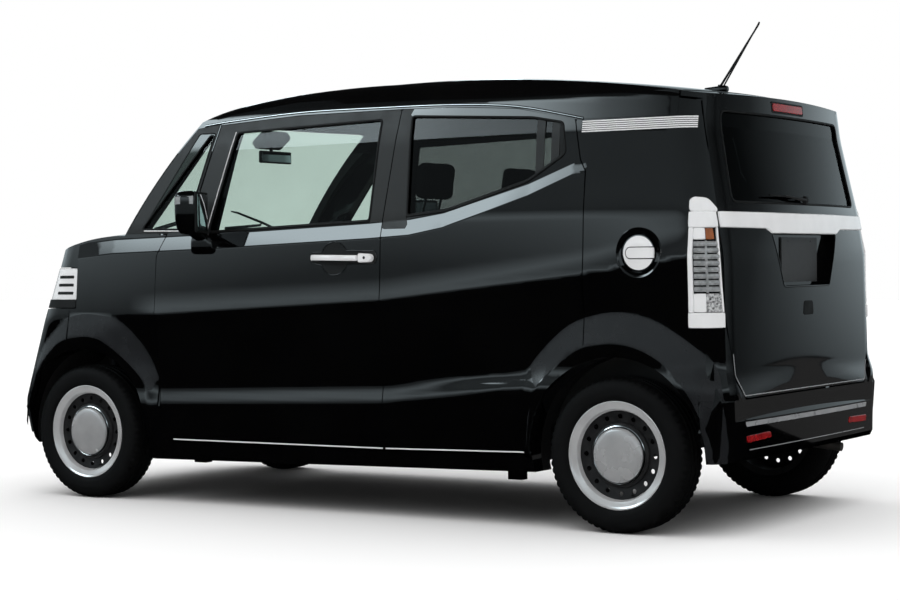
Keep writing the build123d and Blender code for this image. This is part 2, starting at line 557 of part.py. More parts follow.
def build_running_gear():
    """Knuckles, struts, arms, axle, engine, tank and exhaust."""
    x, z = FRONT_AXLE_X, AXLE_Z
    knuckle = block(x - 30, x + 30, KINGPIN_Y - 24, KINGPIN_Y + 38, z - 72, z + 86)
    knuckle += across(x, z, SPINDLE_RADIUS, KINGPIN_Y, TRACK_HALF + 18)
    knuckle -= rod((x, KINGPIN_Y, z + 40), (x, KINGPIN_Y, z + 100), 11.3)
    knuckle -= rod((x, KINGPIN_Y, z - 90), (x, KINGPIN_Y, z - 40), 8.3)
    strut = rod((x, KINGPIN_Y, z + 92), (x, KINGPIN_Y, z + ARCH_RADIUS - 12), 20)
    strut += rod((x, KINGPIN_Y, z + 46), (x, KINGPIN_Y, z + 96), 11)
    arm = prism([(x - 28, KINGPIN_Y + 22, 180), (x + 28, KINGPIN_Y + 22, 180), (x + 120, 300, 180),
                 (x - 120, 300, 180)], (0, 0, 18))
    arm += rod((x, KINGPIN_Y, 190), (x, KINGPIN_Y, z - 46), 8)
    cross = block(x - 125, x + 125, -300, 300, 180, 226)
    side_rails = [block(FIREWALL_X[1] + 1, 1580, y - 35, y + 35, 235, 320) for y in (-345, 345)]
    frame = cross
    for piece in pair(arm) + side_rails:
        frame += piece
    for y in (-345, 345):
        frame += block(x - 60, x + 60, min(y, y * 0.85), max(y, y * 0.85), 200, 240)
    eye_x, eye_y, eye_z, eye_r = TOW_EYE
    frame += block(eye_x - 16, eye_x + 16, eye_y - 6, eye_y + 6, eye_z, 240)
    frame += across(eye_x, eye_z, eye_r + 12, eye_y - 6, eye_y + 6)
    frame -= across(eye_x, eye_z, eye_r, eye_y - 30, eye_y + 30)
    write("knuckle_left", knuckle)
    write("knuckle_right", mirror_y(knuckle))
    write("struts", pair(strut))
    write("front_subframe", frame)
    write("engine", block(1090, 1480, -300, 300, 340, 860))
    axle = across(REAR_AXLE_X, z, 28, -540, 540)
    axle += across(REAR_AXLE_X, z, SPINDLE_RADIUS, -TRACK_HALF - 18, TRACK_HALF + 18)
    for y in (-470, 470):
        axle += rod((REAR_AXLE_X, y, z), (BOOT_X - 2, y, z + 20), 20)
    write("rear_axle", axle)
    write("fuel_tank", block(-300, 420, -230, 400, 180, FLOOR_LOW_Z))
    route = [(FIREWALL_X[0], -300, 206), (-925, -300, 206), (-1080, -300, 336), (-1400, -300, 336), (-1480, -300, 300)]
    exhaust = across(-1480, 300, 62, -420, -80)
    for a, b in zip(route, route[1:]):
        exhaust += rod(a, b, 20) + Pos(*b) * Sphere(20)
    exhaust += rod((-1500, -360, 255), (-1668, -360, 238), 17)
    write("exhaust", exhaust)


def build_cabin():
    """Seats, dashboard, steering wheel and mirror inside."""
    front_side = [(-100, 420), (430, 425), (455, 520), (425, 590), (60, 556), (-40, 600), (-150, 1150),
                  (-230, 1172), (-256, 1130), (-136, 560)]
    seat = side_prism(front_side, 80, 570, 0, 20) + block(20, 340, 140, 510, FLOOR_Z, 440)
    seat += block(-290, -200, 215, 435, 1215, 1372)
    for y in (270, 380):
        seat += rod((-215, y, 1130), (-240, y, 1230), 6)
    write("seat_front_left", seat)
    write("seat_front_right", mirror_y(seat))
    rear_side = [(-1000, 445), (-440, 440), (-420, 560), (-460, 606), (-860, 570), (-960, 606), (-1080, 1130),
                 (-1150, 1142), (-1166, 1100), (-1046, 560)]
    bench = side_prism(rear_side, -540, 540, 0, 20) + block(-800, -500, -450, 450, FLOOR_Z, 460)
    for middle in (-290, 290):
        bench += block(-1240, -1160, middle - 110, middle + 110, 1176, 1300)
        for y in (middle - 50, middle + 50):
            bench += rod((-1132, y, 1110), (-1190, y, 1200), 6)
    write("seat_rear", bench)
    dash_side = [(790, 800), (775, 1000), (812, 1052), (1000, 1066), (1004, 800), (940, 650), (890, 650)]
    dash = side_prism(dash_side, -620, 620, 0, 16)
    lean = math.radians(STEERING_TILT)
    hub = Vector(*STEERING_WHEEL)
    towards = Vector(-math.cos(lean), 0, math.sin(lean))
    column_ends = [hub - towards * t for t in (34, 230, 16)]
    dash += rod(column_ends[0], column_ends[1], 34) + rod(column_ends[2], column_ends[1], 10)
    write("dashboard", dash)
    facing = Plane(hub, x_dir=(0, 1, 0), z_dir=towards)
    wheel = Torus(172, 13) + Pos(0, 0, -6) * Cylinder(52, 40)
    for angle in (0, 180, 270):
        wheel += Rot(0, 0, angle) * Pos(105, 0, 0) * Box(140, 34, 14)
    wheel -= Pos(0, 0, -16) * Cylinder(10.3, 30)
    write("steering_wheel", facing * wheel)
    write("inside_mirror", block(795, 812, -110, 110, 1415, 1468) + rod((805, 0, 1444), (892, 0, 1452), 7))


build()
build_wheels()
build_running_gear()
build_cabin()
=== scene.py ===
import bpy
import json
import math
import numpy as np
from mathutils import Matrix, Vector
from mathutils.geometry import delaunay_2d_cdt


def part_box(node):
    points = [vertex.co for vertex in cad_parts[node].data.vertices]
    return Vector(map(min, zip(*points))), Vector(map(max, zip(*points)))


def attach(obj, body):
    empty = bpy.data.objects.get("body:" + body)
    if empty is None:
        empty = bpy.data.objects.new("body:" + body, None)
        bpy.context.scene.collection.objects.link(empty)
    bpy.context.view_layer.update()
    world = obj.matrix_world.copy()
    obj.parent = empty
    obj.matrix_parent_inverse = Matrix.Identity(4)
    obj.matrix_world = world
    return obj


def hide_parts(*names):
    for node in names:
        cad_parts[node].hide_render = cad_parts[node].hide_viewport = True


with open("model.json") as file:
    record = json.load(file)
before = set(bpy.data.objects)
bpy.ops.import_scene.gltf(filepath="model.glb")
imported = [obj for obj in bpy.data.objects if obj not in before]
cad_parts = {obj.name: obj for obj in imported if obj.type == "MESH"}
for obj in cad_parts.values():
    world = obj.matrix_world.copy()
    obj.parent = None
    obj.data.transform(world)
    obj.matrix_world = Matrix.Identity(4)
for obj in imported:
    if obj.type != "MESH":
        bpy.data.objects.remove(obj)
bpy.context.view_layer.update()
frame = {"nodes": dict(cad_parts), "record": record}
NODES = frame["nodes"]
scene = bpy.context.scene

# Camera of the photograph: place in metres, heading and tilt in degrees, focal length in pixels
CAMERA_AT = (-4.6698, 7.0998, 0.9595)
CAMERA_YAW, CAMERA_PITCH, CAMERA_ROLL = -57.2275, -0.8952, -0.6590
CAMERA_FOCAL = 2037.36
PICTURE = (900, 600)
CENTRE_LINE = 297.29

# Sizes shared with the solids, in millimetres
LENGTH = 3395
AXLES = {"front": 1262.5, "rear": -1257.5}
AXLE_Z = 278.5
TRACK_HALF = 652.5
ARCH_RADIUS = 350
MID_X = -200
CROWN_Y = 600
SMOOTH = 26
PROUD = 1.6
SHARP_ANGLE = 38
ROOF_DROP = 0.9
ROOF_EDGE_Y = 620
SIDE_END = 1690
STEP_FACE = -1684
STEP_TOP = 700
# Where the levels are read for the car's ends, and where the search for the tail's skin starts
TAIL_X, NOSE_X, TAIL_START = -1650.0, 1600.0, -1680

# Plan outlines of the body. Columns: z at the front end, z at the rear end, half-width at MID_X, at the front
# corner and at the rear corner, front end x, front crown, front corner radius, rear end x, rear crown,
# rear corner radius
LEVELS = np.array([
    (140, 140, 700, 690, 690, 1620, 45, 90, -1640, 20, 90),
    (238, 285, 722, 716, 714, 1672, 48, 90, -1697.5, 12, 90),
    (371, 476, 735, 731, 730, 1697.5, 55, 72, -1697.5, 12, 95),
    (445, 548, 724, 722, 722, 1692, 58, 84, -1684, 16, 105),
    (690, 988, 737.5, 727, 730, 1623, 68, 112, -1684, 24, 120),
    (1120, 1150, 727, 700, 718, 1500, 70, 120, -1675, 38, 120),
    (1430, 1440, 690, 640, 680, 1300, 70, 110, -1614, 34, 110),
    (1560, 1570, 664, 612, 652, 1200, 60, 100, -1606, 34, 105),
    (1640, 1640, 634, 580, 615, 1100, 60, 90, -1590, 34, 95),
    (1700, 1700, 545, 500, 530, 1000, 60, 80, -1560, 34, 85),
], float)

# Side profile of the roof, windscreen and bonnet: arcs by start, middle and end, each as (x, z) on the centre
# line and (x, z) at CROWN_Y
ROOF_TAIL = ((-1760, 1533), (-1760, 1516))
ROOF_REAR = ((-1010, 1645), (-1010, 1629))
ROOF_TOP = ((-250, 1670), (-250, 1655))
ROOF_MID = ((205, 1657), (180, 1642))
ROOF_FRONT = ((540, 1628), (458, 1612))
HEADER_MID = ((670, 1606), (588, 1589))
HEADER = ((778, 1574), (693, 1557))
SCREEN_MID = ((1003, 1366), (905, 1345))
COWL = ((1205, 1126), (1092, 1106))
BONNET_MID = ((1400, 1098), (1290, 1087))
NOSE_TOP = ((1512, 1052), (1440, 1044))
PROFILE_ARCS = [(ROOF_TAIL, ROOF_REAR, ROOF_TOP), (ROOF_TOP, ROOF_MID, ROOF_FRONT),
                (ROOF_FRONT, HEADER_MID, HEADER), (HEADER, SCREEN_MID, COWL), (COWL, BONNET_MID, NOSE_TOP)]

# Side view outlines, as (x, z)
PILLAR_LINE = [(-257, 262), (-265, 830), (-267, 1127), (-323, 1552)]
FRONT_DOOR = ([(798, 258), (836, 320), (852, 520), (856, 900), (852, 1010), (806, 1104), (694, 1108),
               (572, 1534), (170, 1553)] + [(x + 4, z) for x, z in reversed(PILLAR_LINE)])
REAR_DOOR = ([(x - 4, z) for x, z in PILLAR_LINE] +
             [(-560, 1548), (-836, 1529), (-1080, 1480), (-1110, 1330), (-1134, 1290), (-1134, 664),
              (-1070, 628), (-980, 548), (-924, 474), (-898, 400), (-886, 272)])
FRONT_WINDOW = [(588, 1106), (482, 1502), (-236, 1520), (-206, 1134)]
REAR_WINDOW = [(-378, 1150), (-375, 1526), (-905, 1496), (-1035, 1472), (-1052, 1360), (-900, 1266),
               (-560, 1168)]
QUARTER_WINDOW = [(952, 1122), (712, 1118), (606, 1496), (628, 1498)]
TAILGATE_LOW = [(612, 1540), (640, 1165), (655, 1142), (655, 780), (640, 690), (612, 560), (556, 486)]
BACK_WINDOW = [(560, 1172), (528, 1496)]
PLATE_RECESS = [(300, 1062), (213, 868)]
FUEL_LID = (-1358, 996)


def new_material(name):
    """A material with its tree and shader."""
    made = bpy.data.materials.new(name)
    made.use_nodes = True
    tree = made.node_tree
    return made, tree, tree.nodes["Principled BSDF"]


def noise(tree, scale, detail=3.0):
    """Noise in the frame's own coordinates."""
    place = tree.nodes.new("ShaderNodeTexCoord")
    texture = tree.nodes.new("ShaderNodeTexNoise")
    texture.inputs["Scale"].default_value = scale
    texture.inputs["Detail"].default_value = detail
    tree.links.new(place.outputs["Object"], texture.inputs["Vector"])
    return texture.outputs["Fac"]


def worked(tree, operation, *values):
    """What an operation makes of its values, which are numbers or other nodes' outputs."""
    node = tree.nodes.new("ShaderNodeMath")
    node.operation = operation
    for socket, value in zip(node.inputs, values):
        if isinstance(value, (int, float)):
            socket.default_value = value
        else:
            tree.links.new(value, socket)
    return node.outputs[0]


def ramp(tree, source, stops):
    """Colour ramp over a value; stops are (place, colour)."""
    node = tree.nodes.new("ShaderNodeValToRGB")
    first, last = node.color_ramp.elements
    first.position, last.position = stops[0][0], stops[-1][0]
    first.color, last.color = (*stops[0][1], 1), (*stops[-1][1], 1)
    for at, colour in stops[1:-1]:
        element = node.color_ramp.elements.new(at)
        element.color = (*colour, 1)
    tree.links.new(source, node.inputs["Fac"])
    return node.outputs["Color"]


def spread(tree, source, low, high, start=0.3, end=0.7):
    """A value remapped to a range."""
    node = tree.nodes.new("ShaderNodeMapRange")
    node.inputs["From Min"].default_value, node.inputs["From Max"].default_value = start, end
    node.inputs["To Min"].default_value, node.inputs["To Max"].default_value = low, high
    tree.links.new(source, node.inputs["Value"])
    return node.outputs["Result"]


def bump(tree, shader, height, strength, distance):
    """Surface relief from a height."""
    node = tree.nodes.new("ShaderNodeBump")
    node.inputs["Strength"].default_value = strength
    node.inputs["Distance"].default_value = distance
    tree.links.new(height, node.inputs["Height"])
    tree.links.new(node.outputs["Normal"], shader.inputs["Normal"])


def finish_of(name, dark, light, rough, metal=0.0, scale=40, grain=0.0, grain_scale=900, coat=0.0, ior=1.5):
    """A finish whose colour runs between two near tones, with roughness that varies and a fine grain."""
    made, tree, shader = new_material(name)
    tone = noise(tree, scale, 3)
    tree.links.new(ramp(tree, tone, [(0.3, dark), (0.7, light)]), shader.inputs["Base Color"])
    tree.links.new(spread(tree, tone, *rough), shader.inputs["Roughness"])
    shader.inputs["Metallic"].default_value = metal
    shader.inputs["IOR"].default_value = ior
    shader.inputs["Coat Weight"].default_value = coat
    shader.inputs["Coat Roughness"].default_value = 0.03
    if grain:
        bump(tree, shader, noise(tree, grain_scale, 2), grain, 0.001)
    return made


# Glass: how much it reflects where it faces the eye, and how steeply that grows towards its rim
GLASS_SHINE, GLASS_POWER = 0.04, 5.0


def see_through(name, tint):
    """Glass as a glossy front face over a tinted see-through sheet."""
    made, tree, shader = new_material(name)
    tree.nodes.remove(shader)
    see, gloss = tree.nodes.new("ShaderNodeBsdfTransparent"), tree.nodes.new("ShaderNodeBsdfGlossy")
    gloss.inputs["Roughness"].default_value = 0.01
    facing, side = tree.nodes.new("ShaderNodeLayerWeight"), tree.nodes.new("ShaderNodeNewGeometry")
    mix = tree.nodes.new("ShaderNodeMixShader")
    power = worked(tree, "POWER", facing.outputs["Facing"], GLASS_POWER)
    share = worked(tree, "MULTIPLY_ADD", power, 1 - GLASS_SHINE, GLASS_SHINE)
    front = worked(tree, "MULTIPLY_ADD", side.outputs["Backfacing"], -1.0, 1.0)
    low = tuple(c * 0.98 for c in tint)
    tree.links.new(ramp(tree, noise(tree, 3), [(0.3, low), (0.7, tint)]), see.inputs["Color"])
    tree.links.new(worked(tree, "MULTIPLY", share, front), mix.inputs["Fac"])
    tree.links.new(see.outputs["BSDF"], mix.inputs[1])
    tree.links.new(gloss.outputs["BSDF"], mix.inputs[2])
    tree.links.new(mix.outputs["Shader"], tree.nodes["Material Output"].inputs["Surface"])
    return made


PAINT = finish_of("gloss_black", (0.0008, 0.0008, 0.0009), (0.0014, 0.0014, 0.0015), (0.03, 0.06), scale=6,
                  coat=1.0)
SATIN = finish_of("dark_grey_satin", (0.014, 0.0145, 0.0145), (0.018, 0.0185, 0.0185), (0.35, 0.45), scale=20,
                  grain=0.05)
ARCH_GREY = finish_of("arch_grey", (0.010, 0.011, 0.0125), (0.014, 0.015, 0.017), (0.22, 0.30), scale=12)
TRIM = finish_of("trim_plastic", (0.025, 0.025, 0.026), (0.036, 0.036, 0.037), (0.55, 0.7), grain=0.3)
DARK_PLASTIC = finish_of("black_plastic", (0.012, 0.012, 0.012), (0.018, 0.018, 0.018), (0.4, 0.55),
                         grain=0.2)
CHROME = finish_of("chrome", (0.78, 0.79, 0.80), (0.86, 0.87, 0.88), (0.04, 0.08), metal=1.0, scale=8)
STEEL = finish_of("black_steel", (0.012, 0.012, 0.013), (0.022, 0.022, 0.023), (0.3, 0.45), metal=0.2,
                  grain=0.1)
RUBBER = finish_of("tyre_rubber", (0.0028, 0.0028, 0.003), (0.005, 0.005, 0.0055), (0.55, 0.7), grain=0.2,
                   ior=1.3)
FABRIC = finish_of("seat_fabric", (0.010, 0.010, 0.011), (0.020, 0.020, 0.021), (0.8, 0.95), grain=0.6)
CAST = finish_of("cast_metal", (0.12, 0.12, 0.12), (0.2, 0.2, 0.2), (0.45, 0.6), metal=0.8, grain=0.4)
PIPE = finish_of("exhaust_steel", (0.18, 0.17, 0.16), (0.3, 0.28, 0.26), (0.35, 0.5), metal=0.9, grain=0.2)
BOARD = finish_of("board_grey", (0.030, 0.031, 0.032), (0.038, 0.039, 0.040), (0.3, 0.4), grain=0.1)
SILVER = finish_of("hub_silver", (0.48, 0.49, 0.50), (0.60, 0.61, 0.62), (0.22, 0.30), metal=0.45, scale=10)
POLISHED = finish_of("polished_ring", (0.70, 0.71, 0.72), (0.82, 0.83, 0.84), (0.12, 0.20), metal=0.5,
                     scale=10)
BRIGHT = finish_of("bright_trim", (0.86, 0.87, 0.88), (0.93, 0.94, 0.95), (0.10, 0.18), metal=0.1, scale=12,
                   coat=0.3)
LEDGE = finish_of("light_satin", (0.28, 0.29, 0.30), (0.36, 0.37, 0.38), (0.25, 0.35), metal=0.2, scale=12)
SEAL = finish_of("rubber_seal", (0.004, 0.004, 0.004), (0.008, 0.008, 0.008), (0.45, 0.6), grain=0.1)
MIRROR = finish_of("mirror_glass", (0.78, 0.80, 0.82), (0.84, 0.86, 0.88), (0.01, 0.02), metal=1.0, scale=4)
LINING = finish_of("roof_lining", (0.16, 0.16, 0.155), (0.22, 0.22, 0.21), (0.85, 0.95), grain=0.4, scale=30)
GLASS_EDGE = finish_of("glass_edge", (0.020, 0.030, 0.027), (0.028, 0.040, 0.036), (0.05, 0.10), coat=0.8,
                       scale=6)
LEATHER = finish_of("wheel_leather", (0.010, 0.010, 0.010), (0.018, 0.018, 0.018), (0.4, 0.55), grain=0.5,
                    grain_scale=500)
RED_LENS = finish_of("red_lens", (0.20, 0.004, 0.006), (0.32, 0.010, 0.012), (0.08, 0.15), scale=30, coat=1.0)
AMBER_LENS = finish_of("amber_lens", (0.22, 0.07, 0.025), (0.32, 0.10, 0.03), (0.08, 0.15), scale=30,
                       coat=1.0)
LENS_BODY = finish_of("crystal_lens", (0.30, 0.32, 0.33), (0.62, 0.64, 0.65), (0.05, 0.12), metal=0.5,
                      scale=60)
CRYSTAL = finish_of("cut_crystal", (0.04, 0.04, 0.045), (0.9, 0.92, 0.93), (0.05, 0.12), metal=0.3, scale=120)
CLEAR_GLASS = see_through("clear_glass", (0.82, 0.875, 0.85))
DARK_GLASS = see_through("dark_glass", (0.33, 0.345, 0.345))
LAMP_GLASS = see_through("lamp_glass", (0.90, 0.91, 0.92))

FINISHES = {
    "gloss_black_paint": PAINT, "dark_grey_paint": ARCH_GREY, "clear_glass": CLEAR_GLASS,
    "dark_glass": DARK_GLASS, "lamp_glass": LAMP_GLASS, "black_plastic": DARK_PLASTIC, "chrome": CHROME,
    "wheel_steel": STEEL, "tyre_rubber": RUBBER, "seat_fabric": FABRIC, "trim_plastic": TRIM,
    "bare_board": BOARD, "black_steel": STEEL, "engine_metal": CAST, "exhaust_steel": PIPE,
}
for entry in frame["record"]["subparts"]:
    piece = NODES[entry["node"]]
    piece.data.materials.clear()
    piece.data.materials.append(FINISHES[entry["material_slot"]])


# Body surface


def on_oval(x, z, half_width, half_height, degrees):
    """A place on an oval at an angle."""
    angle = math.radians(degrees)
    return (x + half_width * math.cos(angle), z + half_height * math.sin(angle))


def on_circle(x, z, radius, degrees):
    """A place on a circle at an angle."""
    return on_oval(x, z, radius, radius, degrees)


def mirrored(points):
    """A run of (y, z) points on the left and its twin on the right, as one closed outline."""
    return points + [(-y, z) for y, z in reversed(points)]


def blended_sizes(x, z):
    """Outline sizes at a height, between the two levels around it."""
    share = x / LENGTH + 0.5
    heights = LEVELS[:, 1] + (LEVELS[:, 0] - LEVELS[:, 1]) * share[:, None]
    below = np.clip((heights <= z[:, None]).sum(1) - 1, 0, len(LEVELS) - 2)
    rows = np.arange(len(x))
    low, high = heights[rows, below], heights[rows, below + 1]
    t = np.clip((z - low) / (high - low), -0.3, 1.3)[:, None]
    return (LEVELS[below, 2:] * (1 - t) + LEVELS[below + 1, 2:] * t).T


def through_three(x, spots):
    """The value at x on the parabola through three (x, value) spots."""
    (x0, v0), (x1, v1), (x2, v2) = spots
    return (v0 * (x - x1) * (x - x2) / ((x0 - x1) * (x0 - x2)) +
            v1 * (x - x0) * (x - x2) / ((x1 - x0) * (x1 - x2)) +
            v2 * (x - x0) * (x - x1) / ((x2 - x0) * (x2 - x1)))


def round_end(past, width, crown, radius):
    """How far the skin reaches past the start of a corner, and its half-width there: round the corner, then
    across the crowned end."""
    face, turn = width - radius, np.minimum(past / radius, np.pi / 2)
    over = np.maximum(past - radius * np.pi / 2, 0)
    reach = np.where(over > 0, radius + crown * (1 - ((face - over) / face) ** 2), radius * np.sin(turn))
    return reach, np.where(over > 0, face - over, face + radius * np.cos(turn))


def plan_point(s, z):
    """Body skin at a distance s along its left side and a height z. On the side s is x; past a corner it runs
    round it and across the end."""
    x = np.clip(s, -SIDE_END, SIDE_END)
    for _ in range(4):
        sizes = blended_sizes(x, z)
        mid_w, front_w, rear_w, front_x, front_crown, front_r, rear_x, rear_crown, rear_r = sizes
        front_cx, rear_cx = front_x - front_crown - front_r, rear_x + rear_crown + rear_r
        side_x = np.clip(s, rear_cx, front_cx)
        side_y = through_three(side_x, ((front_cx, front_w), (MID_X, mid_w), (rear_cx, rear_w)))
        past_front, past_rear = np.maximum(s - front_cx, 0), np.maximum(rear_cx - s, 0)
        front_reach, front_y = round_end(past_front, front_w, front_crown, front_r)
        rear_reach, rear_y = round_end(past_rear, rear_w, rear_crown, rear_r)
        x = np.where(past_rear > 0, rear_cx - rear_reach, side_x)
        x = np.where(past_front > 0, front_cx + front_reach, x)
        y = np.where(past_front > 0, front_y, np.where(past_rear > 0, rear_y, side_y))
    return np.stack([x, y, z], 1)


def rear_point(y, z):
    """Tail skin at a place y across the car and a height z."""
    x = np.full_like(y, TAIL_START)
    for _ in range(3):
        _, _, rear_w, _, _, _, rear_x, rear_crown, rear_r = blended_sizes(x, z)
        face = rear_w - rear_r
        past = np.clip(np.abs(y) - face, 0, rear_r * 0.999)
        x = np.where(past > 0, rear_x + rear_crown + rear_r - np.sqrt(rear_r ** 2 - past ** 2),
                     rear_x + rear_crown * (y / face) ** 2)
    return np.stack([x, y, z], 1)


def side_width(x, z):
    """Half-width of the body at x and z on its side."""
    return plan_point(x, z)[:, 1]


def arc_height(points, x):
    """Height at x on the circle through three points, each an array pair."""
    (x0, z0), (x1, z1), (x2, z2) = points
    q0, q1, q2 = x0 ** 2 + z0 ** 2, x1 ** 2 + z1 ** 2, x2 ** 2 + z2 ** 2
    d = 2 * (x0 * (z1 - z2) + x1 * (z2 - z0) + x2 * (z0 - z1))
    cx = (q0 * (z1 - z2) + q1 * (z2 - z0) + q2 * (z0 - z1)) / d
    cz = (q0 * (x2 - x1) + q1 * (x0 - x2) + q2 * (x1 - x0)) / d
    radius = np.hypot(x0 - cx, z0 - cz)
    return cz + np.sign(z1 - cz) * np.sqrt(np.maximum(radius ** 2 - (x - cx) ** 2, 0))


def profile_height(x, y):
    """Height of the roof, windscreen and bonnet skin."""
    share = (y / CROWN_Y) ** 2
    height = np.zeros_like(x)
    for arc in PROFILE_ARCS:
        points = [(a[0] + (b[0] - a[0]) * share, a[1] + (b[1] - a[1]) * share) for a, b in arc]
        inside = (x >= points[0][0]) & (x <= points[2][0] + 1e-6)
        height = np.where(inside, arc_height(points, x), height)
    return height


def roof_edge(x):
    """Half-width at which the roof's skin turns down the side."""
    edge = np.full_like(x, ROOF_EDGE_Y)
    for _ in range(8):
        edge = 0.5 * edge + 0.5 * side_width(x, profile_height(x, edge))
    return edge


def roof_point(x, v):
    """Roof skin at x and a distance v out from the middle, over the edge and down the side."""
    out, edge = np.abs(v), roof_edge(x)
    edge_z = profile_height(x, edge)
    z = np.where(out <= edge, profile_height(x, np.minimum(out, edge)), edge_z - (out - edge) * ROOF_DROP)
    y = np.where(out <= edge, out, side_width(x, np.minimum(z, edge_z)))
    return np.stack([x, np.sign(v) * y, z], 1)


def blurred(grid, reach, step):
    """A grid of points with each replaced by the mean of those within reach along both ways."""
    count = max(1, int(round(reach / step)))
    for axis in (0, 1):
        pad = [(0, 0)] * 3
        pad[axis] = (count, count)
        padded = np.pad(grid, pad, mode="reflect", reflect_type="odd")
        size = grid.shape[axis]
        grid = sum(np.take(padded, range(i, i + size), axis) for i in range(2 * count + 1)) / (2 * count + 1)
    return grid


def tabulated(grid, a_axis, b_axis, flip=False):
    """Look-up of points and unit normals on a surface worked out on a grid."""
    along, across = np.gradient(grid, axis=0), np.gradient(grid, axis=1)
    normal = np.cross(across, along) * (-1 if flip else 1)
    normal /= np.linalg.norm(normal, axis=2)[:, :, None] + 1e-12
    both = np.concatenate([grid, normal], 2)

    def look(a, b):
        u = np.clip((a - a_axis[0]) / (a_axis[1] - a_axis[0]), 0, len(a_axis) - 1.001)
        v = np.clip((b - b_axis[0]) / (b_axis[1] - b_axis[0]), 0, len(b_axis) - 1.001)
        i, j = u.astype(int), v.astype(int)
        p, q = (u - i)[:, None], (v - j)[:, None]
        mixed = (both[i, j] * (1 - p) * (1 - q) + both[i + 1, j] * p * (1 - q) +
                 both[i, j + 1] * (1 - p) * q + both[i + 1, j + 1] * p * q)
        facing = mixed[:, 3:] / (np.linalg.norm(mixed[:, 3:], axis=1)[:, None] + 1e-12)
        return mixed[:, :3], facing
    return look


def grid_of(point_of, a_axis, b_axis):
    """A surface's points over a grid."""
    a, b = np.meshgrid(a_axis, b_axis, indexing="ij")
    return point_of(a.ravel(), b.ravel()).reshape(len(a_axis), len(b_axis), 3)


def inside_outline(points, outline):
    """Which points lie inside a closed outline."""
    x, z = points[:, 0], points[:, 1]
    odd = np.zeros(len(points), bool)
    for (x0, z0), (x1, z1) in zip(outline, list(outline[1:]) + [outline[0]]):
        if z0 == z1:
            continue
        crossed = (z0 > z) != (z1 > z)
        odd ^= crossed & (x < (x1 - x0) * (z - z0) / (z1 - z0) + x0)
    return odd


def distance_to(points, line, closed=False):
    """Distance of points from a line of straight runs."""
    best = np.full(len(points), 1e9)
    ends = list(line[1:]) + ([line[0]] if closed else [])
    for a, b in zip(line, ends):
        a, b = np.array(a, float), np.array(b, float)
        d = b - a
        t = np.clip(((points - a) @ d) / max(d @ d, 1e-9), 0, 1)
        best = np.minimum(best, np.linalg.norm(points - a - t[:, None] * d, axis=1))
    return best


def divided(outline, step, closed=True):
    """An outline with points added so that none of its runs is longer than step."""
    made = []
    ends = list(outline[1:]) + ([outline[0]] if closed else [])
    for (x0, z0), (x1, z1) in zip(outline, ends):
        count = max(1, int(math.ceil(math.hypot(x1 - x0, z1 - z0) / step)))
        made += [(x0 + (x1 - x0) * i / count, z0 + (z1 - z0) * i / count) for i in range(count)]
    return made if closed else made + [tuple(outline[-1])]


def rounded(outline, radius, closed=True, count=4):
    """An outline with its corners turned by arcs of about radius; radius may be one for each corner."""
    size = len(outline)
    radii = radius if isinstance(radius, (list, tuple)) else [radius] * size
    made = []
    for i in range(size):
        p = np.array(outline[i], float)
        if not closed and i in (0, size - 1) or radii[i] == 0:
            made.append(tuple(p))
            continue
        a, b = np.array(outline[i - 1], float), np.array(outline[(i + 1) % size], float)
        to_a, to_b = a - p, b - p
        cut = min(radii[i], 0.45 * np.linalg.norm(to_a), 0.45 * np.linalg.norm(to_b))
        start, end = p + to_a / np.linalg.norm(to_a) * cut, p + to_b / np.linalg.norm(to_b) * cut
        for k in range(count + 1):
            t = k / count
            made.append(tuple((1 - t) ** 2 * start + 2 * t * (1 - t) * p + t ** 2 * end))
    return made


def grown(outline, amount):
    """A closed outline moved outwards by amount."""
    points = np.array(outline, float)
    before, after = np.roll(points, 1, 0), np.roll(points, -1, 0)
    area = np.sum(points[:, 0] * after[:, 1] - after[:, 0] * points[:, 1])
    turn = 1 if area > 0 else -1

    def outward(a, b):
        d = (b - a) / (np.linalg.norm(b - a, axis=1)[:, None] + 1e-9)
        return turn * np.stack([d[:, 1], -d[:, 0]], 1)
    one, two = outward(before, points), outward(points, after)
    bisector = one + two
    scale = 2 / np.maximum((bisector ** 2).sum(1), 0.5)
    return [tuple(p) for p in points + bisector * scale[:, None] * amount]


def made_object(name, points, faces, materials, body, face_materials=None, normals=None, smooth=True):
    """An object from millimetre points, riding on a body."""
    mesh = bpy.data.meshes.new(name)
    mesh.from_pydata([tuple(p) for p in np.asarray(points, float) * 0.001], [],
                     [tuple(int(i) for i in f) for f in faces])
    for material in materials:
        mesh.materials.append(material)
    if face_materials is not None:
        mesh.polygons.foreach_set("material_index", np.asarray(face_materials, np.int32))
    mesh.polygons.foreach_set("use_smooth", [smooth] * len(mesh.polygons))
    mesh.update()
    if normals is not None:
        mesh.normals_split_custom_set_from_vertices([tuple(n) for n in normals])
    else:
        mesh.set_sharp_from_angle(angle=math.radians(SHARP_ANGLE))
    made = bpy.data.objects.new(name, mesh)
    scene.collection.objects.link(made)
    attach(made, body)
    return made


# How far a crease's points keep from an outline and from a hole, and the grid's points from all of them, as a
# share of its step
EDGE_ROOM, HOLE_ROOM, GRID_ROOM = 2, 3, 0.45


